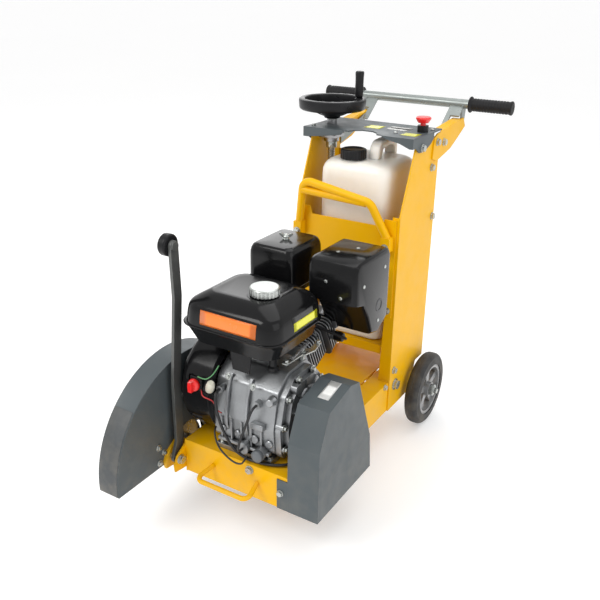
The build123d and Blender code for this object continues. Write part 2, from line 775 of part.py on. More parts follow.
front_wheel_left, front_wheel_right = front_wheel(-1), front_wheel(1)
save(front_wheel_left, "front_wheel_left")
save(front_wheel_right, "front_wheel_right")

# ---------------------------------------------------------------- arbor
bearing_x = 118.0
bearing_half = 19.0
pulley_in, pulley_out = 176.0, 204.0
flange_r = 54.0
arbor_left_end = -247.0
with BuildPart() as arbor_shaft:
    add(rod_x(-200, pulley_out + 4, arbor_y, arbor_z, arbor_r))
    add(rod_x(arbor_left_end + 12, -200, arbor_y, arbor_z, blade_bore_r))
    # fixed inner blade flange with a relieved face
    add(rod_x(-214, -196, arbor_y, arbor_z, flange_r))
    with BuildSketch(Plane.YZ.offset(-214)):
        with Locations((arbor_y, arbor_z)):
            Circle(flange_r - 14)
            Circle(blade_bore_r, mode=Mode.SUBTRACT)
    extrude(amount=2.5, mode=Mode.SUBTRACT)
    chamfer(arbor_shaft.faces().sort_by(Axis.X)[0].edges(), 1.5)
save(arbor_shaft, "arbor_shaft")

with BuildPart() as blade_flange:
    # loose outer flange and the hexagon nut that clamps it
    add(rod_x(-226, -219, arbor_y, arbor_z, flange_r))
    with BuildSketch(Plane.YZ.offset(-234)):
        with Locations((arbor_y, arbor_z)):
            RegularPolygon(22, 6)
    extrude(amount=8)
    add(rod_x(-240, -210, arbor_y, arbor_z, blade_bore_r), mode=Mode.SUBTRACT)
save(blade_flange, "blade_flange")

with BuildPart() as arbor_bearings:
    for side in (-1, 1):
        x_mid = side * bearing_x
        with BuildSketch(Plane.YZ.offset(x_mid - bearing_half)):
            with Locations((arbor_y, arbor_z)):
                Circle(40)
            with Locations((arbor_y, (arbor_z + deck_bottom) / 2)):
                Rectangle(80, deck_bottom - arbor_z)
            with Locations((arbor_y, deck_bottom - 8)):
                Rectangle(108, 16)
            with Locations((arbor_y, arbor_z)):
                Circle(arbor_r + running_gap, mode=Mode.SUBTRACT)
        extrude(amount=2 * bearing_half)
save(arbor_bearings, "arbor_bearings")

groove_depth = 8.0


def pulley(y, z, pitch_r, bore_r, x_low, x_high):
    """V-belt pulley with one groove for each belt."""
    outer_r = pitch_r + 2.5
    with BuildPart() as piece:
        add(rod_x(x_low, x_high, y, z, outer_r))
        for x_mid in belt_planes:
            with BuildSketch(Plane.XY.offset(z)):
                with BuildLine():
                    Polyline((x_mid - 5.4, y + outer_r + 1), (x_mid + 5.4, y + outer_r + 1),
                             (x_mid + 3.2, y + outer_r - groove_depth),
                             (x_mid - 3.2, y + outer_r - groove_depth), close=True)
                make_face()
            revolve(axis=Axis((0, y, z), (1, 0, 0)), mode=Mode.SUBTRACT)
        add(rod_x(x_low - 1, x_high + 1, y, z, bore_r), mode=Mode.SUBTRACT)
    return piece


arbor_pulley = pulley(arbor_y, arbor_z, arbor_pitch_r, arbor_r, pulley_in, pulley_out)
save(arbor_pulley, "arbor_pulley")
engine_pulley = pulley(crank_y, crank_z, engine_pitch_r, crank_r, pulley_in, pulley_out)
save(engine_pulley, "engine_pulley")

# belts: outline tangent to both pulleys, cleared from the grooves' walls


def belt_outline(offset_r):
    """Open belt path around both pulleys, at a distance from their pitch circles."""
    big, small = arbor_pitch_r + offset_r, engine_pitch_r + offset_r
    with BuildSketch() as outline:
        with Locations((arbor_y, arbor_z)):
            Circle(big)
        with Locations((crank_y, crank_z)):
            Circle(small)
        make_hull()
    return outline.sketch


with BuildPart() as drive_belts:
    for x_mid in belt_planes:
        with BuildSketch(Plane.YZ.offset(x_mid - 2.6)):
            add(belt_outline(2.0))
            add(belt_outline(-4.8), mode=Mode.SUBTRACT)
        extrude(amount=5.2)
save(drive_belts, "drive_belts")

# ---------------------------------------------------------------- belt guard
belt_profile = [(-379, 116), (-379, 201), (-377, 301), (-338, 385), (-242, 407), (-200, 397),
                (-128, 216), (-117, 116)]
guard_wall = 3.0
with BuildPart() as belt_guard:
    with BuildSketch(Plane.YZ.offset(belt_guard_in)):
        with BuildLine():
            Polyline(*belt_profile, close=True)
        make_face()
    extrude(amount=belt_guard_out - belt_guard_in)
    with BuildSketch(Plane.YZ.offset(belt_guard_in + guard_wall)):
        with BuildLine():
            Polyline((-376, 110), (-376, 201), (-374, 300), (-336, 382), (-242, 403.8),
                     (-202, 394), (-131, 215), (-120, 110), close=True)
        make_face()
    extrude(amount=belt_guard_out - belt_guard_in - 2 * guard_wall, mode=Mode.SUBTRACT)
    # openings in the back plate for the arbor and the engine shaft
    add(rod_x(140, 156, arbor_y, arbor_z, arbor_slot_r), mode=Mode.SUBTRACT)
    add(box(140, 153.5, arbor_y - arbor_slot_r, arbor_y + arbor_slot_r, 100, arbor_z),
        mode=Mode.SUBTRACT)
    add(rod_x(140, 156, crank_y, crank_z, 34), mode=Mode.SUBTRACT)
    # flange that laps the front plate
    add(box(121, belt_guard_in, front_y - 3, front_y, 116, 196))
save(belt_guard, "belt_guard")

# ---------------------------------------------------------------- blade guard
guard_bottom = 138.0
barb_angle = radians(50)
barb_foot, barb_tip = (
    (blade_x, arbor_y + reach * cos(barb_angle), arbor_z + reach * sin(barb_angle))
    for reach in (guard_r - 2, guard_r + 28))


def guard_disc(x_low, width, radius, foot_z):
    """Disc segment on the arbor axis, cut flat at foot_z."""
    with BuildPart() as disc:
        add(rod_x(x_low, x_low + width, arbor_y, arbor_z, radius))
        add(box(guard_out - 5, guard_in + 5, arbor_y - 300, arbor_y + 300, arbor_z - 300, foot_z),
            mode=Mode.SUBTRACT)
    return disc.part


with BuildPart() as blade_guard:
    add(guard_disc(guard_out, guard_in - guard_out, guard_r, guard_bottom))
    # hollow with an open foot for the blade
    add(guard_disc(guard_out + guard_sheet, guard_in - guard_out - 2 * guard_sheet,
                   guard_r - guard_sheet, guard_bottom - 1), mode=Mode.SUBTRACT)
    # slot that drops over the arbor's inner flange
    add(rod_x(guard_in - guard_sheet - 1, guard_in + 1, arbor_y, arbor_z, flange_r + 5),
        mode=Mode.SUBTRACT)
    # water inlet barb on the outer rim
    add(rod_between(barb_foot, barb_tip, 6))
save(blade_guard, "blade_guard")

# ---------------------------------------------------------------- guide arm
arm_half_width = 13.0
arm_centre = [(arm_pivot_y, arm_pivot_z), (-379, 200), (-378, 360), (-357, 575),
              (guide_wheel_y, guide_wheel_z)]
with BuildPart() as guide_arm:
    with BuildSketch(Plane.YZ.offset(arm_x - arm_thick / 2)):
        with BuildLine() as arm_line:
            FilletPolyline(*arm_centre, radius=30)
        trace(arm_line.line, line_width=2 * arm_half_width)
        with Locations(arm_centre[0], arm_centre[-1]):
            Circle(arm_half_width)
        with Locations((arm_pivot_y, arm_pivot_z)):
            Circle(arm_bolt_r + running_gap, mode=Mode.SUBTRACT)
    extrude(amount=arm_thick)
    # fixed axle bolt of the guide wheel, head on the arm's inner face
    add(rod_x(-194, arm_x, guide_wheel_y, guide_wheel_z, 5))
    add(rod_x(arm_x, arm_x + arm_thick / 2 + 3, guide_wheel_y, guide_wheel_z, 11))
    add(rod_x(-194, -191.5, guide_wheel_y, guide_wheel_z, 9))
save(guide_arm, "guide_arm")

with BuildPart() as guide_wheel:
    add(rod_x(-191, -170, guide_wheel_y, guide_wheel_z, guide_wheel_r))
    fillet(guide_wheel.edges().filter_by(GeomType.CIRCLE), 5)
    add(rod_x(-200, -160, guide_wheel_y, guide_wheel_z, 5 + running_gap), mode=Mode.SUBTRACT)
save(guide_wheel, "guide_wheel")

# ---------------------------------------------------------------- engine
# crankcase casting: box with a rounded sump, feet, ribs and the bosses of the plugs
case_outline = [(-350, 232), (-354, 300), (-336, 388), (-292, 424), (-214, 424), (-168, 380),
                (-160, 232)]
foot_z = deck_top + 12
plug_places, plug_z = (20.0, 66.0), 236.0
terminals = ((-52.0, 366.0), (52.0, 356.0))
with BuildPart() as crankcase:
    add(plate_yz(case_outline, block_x0, block_x1 - block_x0))
    fillet(crankcase.edges().filter_by(Axis.X), 14)
    add(box(-66, 90, -356, -150, deck_top, foot_z))
    add(box(-40, 64, -328, -178, foot_z - 1, 240))
    for rib_x in (-48, -20, 8, 36, 64):
        add(box(rib_x - 2, rib_x + 2, -358, -340, 238, 296))
    for plug_x in plug_places:
        add(rod_y(plug_x, plug_z, -340, 30, 15))
    for terminal_x, terminal_z in terminals:
        add(rod_y(terminal_x, terminal_z, -330, 28, 9))
    # stub that the cylinder bolts to, and the crankshaft bore
    with BuildSketch(Plane(origin=(8, crank_y, crank_z), x_dir=(1, 0, 0),
                           z_dir=(0, cos(radians(cylinder_tilt)), sin(radians(cylinder_tilt))))):
        RectangleRounded(120, 104, 14)
    extrude(amount=108)
    add(rod_x(-160, 200, crank_y, crank_z, 22), mode=Mode.SUBTRACT)
save(crankcase, "crankcase")

cover_outline = [(-344, 222), (-350, 300), (-330, 380), (-288, 416), (-214, 416), (-172, 372),
                 (-166, 222)]
with BuildPart() as crankcase_cover:
    add(plate_yz(cover_outline, block_x1, 16))
    fillet(crankcase_cover.edges().filter_by(Axis.X), 20)
    add(plate_yz([(-330, 236), (-334, 300), (-318, 368), (-280, 402), (-222, 402), (-186, 364),
                  (-182, 236)], block_x1 + 15, cover_x1 - block_x1 - 15))
    add(rod_x(block_x1 + 10, cover_x1 + 10, crank_y, crank_z, 36))
    add(rod_x(block_x1 + 10, cover_x1 + 4, -296, 392, 12))
    for bolt_y, bolt_z in [(-338, 250), (-342, 310), (-322, 374), (-282, 408), (-220, 408),
                           (-178, 366), (-174, 300), (-174, 240)]:
        add(rod_x(block_x1, block_x1 + 22, bolt_y, bolt_z, 7))
    add(rod_x(80, 160, crank_y, crank_z, crank_r + running_gap), mode=Mode.SUBTRACT)
save(crankcase_cover, "crankcase_cover")

with BuildPart() as crankshaft:
    add(rod_x(-120, pulley_out + 2, crank_y, crank_z, crank_r))
    add(rod_x(-8, 8, crank_y, crank_z, 20))
    add(rod_x(24, 40, crank_y, crank_z, 20))
    # flywheel with its fan, inside the blower housing
    add(rod_x(-116, -90, crank_y, crank_z, 96))
    add(rod_x(-124, -116, crank_y, crank_z, 88))
    # tapered end washer of the pulley
    add(rod_x(pulley_out, pulley_out + 4, crank_y, crank_z, 18))
save(crankshaft, "crankshaft")

# finned cylinder and head, leaning back from the crankcase
tilt = radians(cylinder_tilt)
barrel_start, fin_pitch, fin_count = 108.6, 9.0, 13
barrel_plane = Plane(origin=(8, crank_y + barrel_start * cos(tilt), crank_z + barrel_start * sin(tilt)),
                     x_dir=(1, 0, 0), z_dir=(0, cos(tilt), sin(tilt)))
with BuildPart() as cylinder_head:
    with BuildSketch(barrel_plane):
        RectangleRounded(104, 92, 14)
    extrude(amount=fin_pitch * fin_count)
    for fin in range(fin_count):
        size = (128, 100) if fin < 8 else (150, 104)
        with BuildSketch(barrel_plane.offset(2 + fin * fin_pitch)):
            RectangleRounded(*size, 16)
        extrude(amount=3)
    # pressed valve cover at the end
    with BuildSketch(barrel_plane.offset(fin_pitch * fin_count)):
        RectangleRounded(108, 88, 20)
    extrude(amount=26)
    # spark plug boss and its rubber cap
    add(rod_x(70, 108, -66, 424, 12))
save(cylinder_head, "cylinder_head")

# fuel tank: lower pan, seam flange and domed top
tank_mid_x = (tank_x0 + tank_x1) / 2
tank_mid_y = (tank_y0 + tank_y1) / 2
tank_w, tank_d = tank_x1 - tank_x0, tank_y1 - tank_y0
tank_floor = 486.0
tank_roof = 602.0
with BuildPart() as fuel_tank:
    with BuildSketch(Plane.XY.offset(tank_floor)):
        with Locations((tank_mid_x + 6, tank_mid_y)):
            RectangleRounded(tank_w - 44, tank_d - 24, 30)
    with BuildSketch(Plane.XY.offset(tank_seam)):
        with Locations((tank_mid_x, tank_mid_y)):
            RectangleRounded(tank_w, tank_d, 42)
    loft()
    with BuildSketch(Plane.XY.offset(tank_seam)):
        with Locations((tank_mid_x, tank_mid_y)):
            RectangleRounded(tank_w - 4, tank_d - 4, 40)
    with BuildSketch(Plane.XY.offset(tank_seam + 48)):
        with Locations((tank_mid_x, tank_mid_y + 2)):
            RectangleRounded(tank_w - 18, tank_d - 14, 38)
    loft()
    with BuildSketch(Plane.XY.offset(tank_seam + 48)):
        with Locations((tank_mid_x, tank_mid_y + 2)):
            RectangleRounded(tank_w - 18, tank_d - 14, 38)
    with BuildSketch(Plane.XY.offset(tank_roof)):
        with Locations((tank_mid_x, tank_mid_y + 6)):
            RectangleRounded(tank_w - 96, tank_d - 80, 30)
    loft()
    with BuildSketch(Plane.XY.offset(tank_seam - 2)):
        with Locations((tank_mid_x - 2, tank_mid_y)):
            RectangleRounded(tank_w + 10, tank_d + 4, 44)
    extrude(amount=4)
    add(rod_z(fuel_cap_x, fuel_cap_y, tank_roof - 22, tank_roof + 2, 26))
    # feet that bolt to the crankcase and the head
    for foot_x, foot_y in ((-50, -300), (60, -300), (8, -200)):
        add(rod_z(foot_x, foot_y, 424.5, tank_floor + 1, 13))
    # hollow: open only at the filler neck
    add(box(tank_mid_x - 96, tank_mid_x + 96, tank_mid_y - 78, tank_mid_y + 82, tank_floor + 6,
            tank_roof - 14), mode=Mode.SUBTRACT)
    add(rod_z(fuel_cap_x, fuel_cap_y, tank_roof - 40, tank_roof + 10, 22), mode=Mode.SUBTRACT)
save(fuel_tank, "fuel_tank")

with BuildPart() as fuel_cap:
    add(rod_z(fuel_cap_x, fuel_cap_y, tank_roof + 2.3, tank_roof + 20, 34))
    fillet(fuel_cap.faces().sort_by(Axis.Z)[-1].edges(), 4)
    with BuildSketch(Plane.XY.offset(tank_roof + 2)):
        with Locations((fuel_cap_x, fuel_cap_y)):
            with PolarLocations(34.6, 24):
                Circle(2.0)
    extrude(amount=14, mode=Mode.SUBTRACT)
    add(rod_z(fuel_cap_x, fuel_cap_y, tank_roof - 14, tank_roof + 3, 21.6))
save(fuel_cap, "fuel_cap")

# air filter box and carburettor on the blade side
filter_x0, filter_x1, filter_y0, filter_y1 = -110.0, 18.0, -158.0, -4.0
filter_top = 658.0
with BuildPart() as air_filter:
    add(box(filter_x0, filter_x1, filter_y0, filter_y1, 556, filter_top))
    fillet(air_filter.edges().filter_by(Axis.Z), 16)
    fillet(air_filter.faces().sort_by(Axis.Z)[-1].edges(), 9)
    add(box(filter_x0 + 8, filter_x1 - 8, filter_y0 + 8, filter_y1 - 8, 538, 557))
    # wing nut on the cover
    add(rod_z(-46, -81, filter_top - 1, filter_top + 8, 7))
    add(box(-62, -30, -83, -79, filter_top + 2, filter_top + 14))
save(air_filter, "air_filter")

carb_x0, carb_x1 = -102.0, -74.0
with BuildPart() as carburettor:
    add(box(carb_x0, carb_x1, -116, -62, 486, 538))
    add(rod_z(-88, -88, 458, 486, 15))
    # intake elbow that turns down towards the head
    add(box(carb_x1, -40, -98, -78, 500, 520))
    add(box(-60, -40, -98, -78, 477, 500))
save(carburettor, "carburettor")

lever_y, lever_z = -88.0, 508.0
with BuildPart() as throttle_lever:
    add(rod_x(carb_x0 - 8, carb_x0 - 0.3, lever_y, lever_z, 10))
    add(box(carb_x0 - 8, carb_x0 - 4, lever_y - 40, lever_y + 5, lever_z - 5, lever_z + 5))
    add(rod_x(carb_x0 - 18, carb_x0 - 4, lever_y - 36, lever_z, 6))
save(throttle_lever, "throttle_lever")

# muffler behind its pressed heat shield on the belt side
muffler_x0, muffler_x1, muffler_y0, muffler_y1 = 62.0, 192.0, -156.0, 20.0
muffler_top = 657.0
shield_outline = [(muffler_y0, 556), (muffler_y0, muffler_top), (muffler_y1, muffler_top),
                  (muffler_y1, 500), (-90, 500), (-118, 545)]
shield_lower = [(muffler_y1, 500), (muffler_y1, 470), (-30, 442), (-66, 452), (-90, 500)]
with BuildPart() as muffler:
    add(plate_yz(shield_outline, muffler_x0, muffler_x1 - muffler_x0))
    fillet(muffler.edges().filter_by(Axis.X).group_by(Axis.Z)[-1], 22)
    add(plate_yz(shield_lower, 94, muffler_x1 - 94))
    # flange against the side of the head
    add(box(83, 94, -72, -36, 446, 470))
    # outlet hole in the side
    add(rod_x(muffler_x1 - 30, muffler_x1 + 1, -30, 530, 14), mode=Mode.SUBTRACT)
save(muffler, "muffler")

# blower housing and recoil starter on the blade side
with BuildPart() as fan_housing:
    add(rod_x(fan_x0, fan_x1, crank_y, crank_z, fan_r))
    fillet(fan_housing.faces().sort_by(Axis.X)[0].edges(), 18)
    add(box(fan_x0 + 16, fan_x1, crank_y - 20, crank_y + 122, crank_z + 60, crank_z + 124))
    # hollow for the flywheel, open towards the crankcase and the starter
    add(rod_x(fan_x0 + 3, fan_x1 + 1, crank_y, crank_z, 104), mode=Mode.SUBTRACT)
    add(rod_x(fan_x0 - 1, fan_x0 + 6, crank_y, crank_z, 60), mode=Mode.SUBTRACT)
    add(box(fan_x0 - 10, fan_x1 + 10, crank_y - 160, crank_y + 160, 100, foot_z),
        mode=Mode.SUBTRACT)
save(fan_housing, "fan_housing")

with BuildPart() as recoil_cover:
    add(rod_x(recoil_x0, fan_x0, crank_y, crank_z, 92))
    fillet(recoil_cover.faces().sort_by(Axis.X)[0].edges(), 10)
    with BuildSketch(Plane.YZ.offset(recoil_x0)):
        with Locations((crank_y, crank_z)):
            with PolarLocations(58, 10):
                SlotOverall(34, 8)
    extrude(amount=6, mode=Mode.SUBTRACT)
    add(rod_between((-170, -196, 398), (-170, -190, 434), 11))
    add(rod_x(fan_x0 - 14, fan_x0 + 1, crank_y, crank_z, 78), mode=Mode.SUBTRACT)
save(recoil_cover, "recoil_cover")

# T-handle of the starter rope, pulled up and away from the engine
with BuildPart() as starter_handle:
    add(rod_between((-170, -190, 434.6), (-170, -188.6, 444), 6))
    add(rod_between((-186, -188, 450), (-154, -188, 450), 8))
save(starter_handle, "starter_handle")

# rotary stop switch on the blower housing
switch_y, switch_z = -375.8, 372.0
with BuildPart() as engine_switch:
    add(rod_y(-108, switch_z, switch_y, 12, 14))
    add(box(-112, -104, switch_y - 22, switch_y - 11, switch_z - 14, switch_z + 14))
save(engine_switch, "engine_switch")

# ---------------------------------------------------------------- cables held by the machine
cable_r = 3.5
stop_route = [(-52, -358, 366), (-52, -375, 366), (-46, -381, 332), (-36, -380, 294),
              (-22, -377, 258), (-2, -374, 228), (26, -369, 212), (62, -366, 211),
              (98, -358, 212), (128, -338, 213), (139, -304, 214), (140, -262, 213),
              (139, -216, 212), (138, -178, 205), (135, -150, 184), (128, -112, 171),
              (118, -60, 166), (113, -2, 165), (115, 58, 164), (121, 114, 161),
              (125, 160, 158), (126, 196, 164), (126, 220, 190), (126, 231, 228),
              (126.5, 238, 290), (127, 244, 360), (127.5, 252, 440), (127.5, 262, 525),
              (127.5, 275, 610), (129, 286, 690), (131, 294, 755), (133, 299, 796),
              (134, 300, 818), (134, 300, 838)]
lead_r = 3.0
lead_route = [(52, -358, 356), (52, -373, 356), (45, -380, 330), (35, -382, 300),
              (26, -386, 272), (20, -388, 246), (20, -385, 236), (20, -370, 236)]


def arc_radii(route):
    """Largest arc that each corner of a route allows."""
    points = [Vector(*point) for point in route]
    radii = []
    for before, corner, after in zip(points, points[1:], points[2:]):
        turn = radians((corner - before).get_angle(after - corner))
        shorter = min((corner - before).length, (after - corner).length)
        radii.append(0.45 * shorter / tan(turn / 2))
    return radii


def cable(route, radius, name):
    """Round cable along straight runs joined by tangent arcs."""
    radii = arc_radii(route)
    print(name, "radii", [round(r) for r in radii])
    with BuildPart() as piece:
        with BuildLine() as path:
            FilletPolyline(*route, radius=radii)
        with BuildSketch(Plane(origin=path.line @ 0, z_dir=path.line % 0)):
            Circle(radius)
        sweep()
    length = sum(edge.length for edge in path.edges())
    print(name, "length", round(length), "volume ratio",
          round(piece.part.volume / (pi * radius ** 2 * length), 4))
    return piece


stop_cable = cable(stop_route, cable_r, "stop_cable")
save(stop_cable, "stop_cable")
oil_lead = cable(lead_route, lead_r, "oil_lead")
save(oil_lead, "oil_lead")

# ---------------------------------------------------------------- fasteners
m10, m8, m16 = 5.0, 4.0, 8.0
with BuildPart() as frame_bolts:
    for side in (-1, 1):
        out = (side, 0, 0)
        # column to rail, handle arms, posts and dashboard
        add(bolt(face_plane(side * column_out, 170, 235, out), m10, 0))
        add(bolt(face_plane(side * column_out, yoke_y, yoke_z, out), m16, 44, 9))
        add(bolt(face_plane(side * rail_out, 126, 199, out), m8, 0))
        add(bolt(face_plane(side * column_out, 332, 780, out), m10, 0))
        add(bolt(face_plane(side * column_out, 362, 637, out), m10, 0))
        add(bolt(face_plane(side * arm_out, 350, 846, out), m10, 0))
        add(bolt(face_plane(side * arm_out, 397, 838, out), m10, 0))
        add(bolt(face_plane(side * dash_half, 243, 848, out), m10, 0))
        add(bolt(face_plane(side * 132, column_front - sheet, 423, (0, -1, 0)), m10, 0))
    for foot_x in (-137, 128):
        add(bolt(face_plane(foot_x, 117, 608, (0, -1, 0)), m10, 0))
    add(bolt(face_plane(44, front_y, 190, (0, -1, 0)), m10, 0))
    add(bolt(face_plane(131, front_y - 3, 161, (0, -1, 0)), m8, 0))
    add(bolt(face_plane(-150, arm_pivot_y, arm_pivot_z, (1, 0, 0)), arm_bolt_r, 37))
    for bolt_y, bolt_z in ((-352, 206), (-338, 180)):
        add(bolt(face_plane(guard_in, bolt_y, bolt_z, (1, 0, 0)), m8, 0))
save(frame_bolts, "frame_bolts")

with BuildPart() as engine_bolts:
    for foot_x in (-54, 83):
        for foot_y in (-346, -160):
            add(bolt(face_plane(foot_x, foot_y, foot_z, (0, 0, 1)), m8, 0, 5))
    for plug_x in plug_places[1:]:
        add(bolt(face_plane(plug_x, -370, plug_z, (0, -1, 0)), 6.5, 0))
save(engine_bolts, "engine_bolts")
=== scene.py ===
"""Looks of the walk-behind concrete saw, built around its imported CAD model.

Lengths in the tables are millimetres, and MM turns them into metres.
"""
import json
from math import cos, pi, radians, sin

import bmesh
import bpy
from mathutils import Matrix, Vector


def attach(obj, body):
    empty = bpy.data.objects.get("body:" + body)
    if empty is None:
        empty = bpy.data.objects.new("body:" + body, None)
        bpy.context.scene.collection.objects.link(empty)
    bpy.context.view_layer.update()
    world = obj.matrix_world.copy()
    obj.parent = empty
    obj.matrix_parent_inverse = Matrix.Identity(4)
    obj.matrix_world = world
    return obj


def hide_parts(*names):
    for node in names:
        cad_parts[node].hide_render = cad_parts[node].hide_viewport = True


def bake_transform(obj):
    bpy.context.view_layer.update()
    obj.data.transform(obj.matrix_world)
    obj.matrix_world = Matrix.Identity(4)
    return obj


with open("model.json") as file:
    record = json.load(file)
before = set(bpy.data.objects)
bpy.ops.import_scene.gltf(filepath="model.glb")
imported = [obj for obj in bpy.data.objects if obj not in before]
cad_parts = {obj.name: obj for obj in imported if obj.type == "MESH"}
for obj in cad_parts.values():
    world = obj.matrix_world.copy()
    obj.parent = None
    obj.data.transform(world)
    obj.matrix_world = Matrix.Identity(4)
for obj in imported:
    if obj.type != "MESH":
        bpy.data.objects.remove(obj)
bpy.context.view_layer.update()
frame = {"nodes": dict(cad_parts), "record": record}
MM = 0.001

# ---------------------------------------------------------------- camera and light
AZIMUTH, ELEVATION, ROLL = radians(31.34), radians(23.37), radians(0.70)
CAMERA_AT = Vector((0.8913, -1.5510, 1.2471))
ahead = Vector((-sin(AZIMUTH) * cos(ELEVATION), cos(AZIMUTH) * cos(ELEVATION), -sin(ELEVATION)))
level = Vector((cos(AZIMUTH), sin(AZIMUTH), 0))
upright = level.cross(ahead)
right = cos(ROLL) * level + sin(ROLL) * upright
up = -sin(ROLL) * level + cos(ROLL) * upright
camera = bpy.data.objects.new("camera", bpy.data.cameras.new("camera"))
camera.matrix_world = Matrix.Translation(CAMERA_AT) @ Matrix((right, up, -ahead)).transposed().to_4x4()
camera.data.lens = 44.87
camera.data.sensor_width = 36.0
bpy.context.collection.objects.link(camera)
bpy.context.scene.camera = camera
bpy.context.scene.view_settings.view_transform = "Standard"


def area_light(name, place, aim, size, watts, tint=(1, 1, 1)):
    lamp = bpy.data.lights.new(name, "AREA")
    lamp.size, lamp.energy, lamp.color = size, watts, tint
    obj = bpy.data.objects.new(name, lamp)
    obj.location = place
    obj.rotation_euler = (Vector(aim) - Vector(place)).to_track_quat("-Z", "Y").to_euler()
    bpy.context.collection.objects.link(obj)


CENTRE = (0, 0, 0.45)
area_light("key", (-1.3, -2.6, 3.0), CENTRE, 1.6, 58, (1.0, 0.99, 0.97))
area_light("fill", (2.9, -0.6, 1.7), CENTRE, 2.2, 16, (0.97, 0.98, 1.0))
area_light("top", (0.2, 0.7, 3.2), CENTRE, 2.4, 26)
area_light("back", (-1.8, 2.4, 1.9), CENTRE, 1.8, 16)
world = bpy.data.worlds.new("studio")
world.use_nodes = True
world.node_tree.nodes["Background"].inputs["Color"].default_value = (1, 1, 1, 1)
world.node_tree.nodes["Background"].inputs["Strength"].default_value = 0.84
bpy.context.scene.world = world


# ---------------------------------------------------------------- materials
class Nodes:
    """Short way to add and join shader nodes."""

    def __init__(self, name):
        self.material = bpy.data.materials.new(name)
        self.material.use_nodes = True
        self.tree = self.material.node_tree
        self.shader = self.tree.nodes["Principled BSDF"]
        self.place = self.add("TexCoord").outputs["Object"]

    def add(self, kind, **values):
        node = self.tree.nodes.new("ShaderNode" + kind)
        for key, value in values.items():
            if key in node.inputs:
                if hasattr(value, "is_linked"):
                    self.tree.links.new(value, node.inputs[key])
                else:
                    node.inputs[key].default_value = value
            else:
                setattr(node, key, value)
        return node

    def noise(self, scale, detail=3.0, roughness=0.55):
        return self.add("TexNoise", Vector=self.place, Scale=scale, Detail=detail,
                        Roughness=roughness).outputs["Fac"]

    def span(self, value, low, high, to_low, to_high):
        """Linear map of a value, clamped."""
        node = self.add("MapRange", clamp=True)
        self.tree.links.new(value, node.inputs["Value"])
        for key, number in zip(("From Min", "From Max", "To Min", "To Max"),
                               (low, high, to_low, to_high)):
            node.inputs[key].default_value = number
        return node.outputs["Result"]

    def maths(self, operation, a, b):
        node = self.add("Math", operation=operation)
        for index, value in enumerate((a, b)):
            if hasattr(value, "is_linked"):
                self.tree.links.new(value, node.inputs[index])
            else:
                node.inputs[index].default_value = value
        return node.outputs[0]

    def mix(self, amount, first, second):
        """Colour mix; first and second are sockets or colours."""
        node = self.add("Mix", data_type="RGBA")
        sockets = [s for s in node.inputs if s.type == "RGBA"]
        self.tree.links.new(amount, node.inputs[0])
        for socket, value in zip(sockets, (first, second)):
            if hasattr(value, "is_linked"):
                self.tree.links.new(value, socket)
            else:
                socket.default_value = (*value, 1)
        return [s for s in node.outputs if s.type == "RGBA"][0]


def shade(colour, factor):
    return tuple(min(1.0, c * factor) for c in colour)


TUBE_FINISH = (0.26, 0.285, 0.275)
DUST = (0.36, 0.31, 0.23)


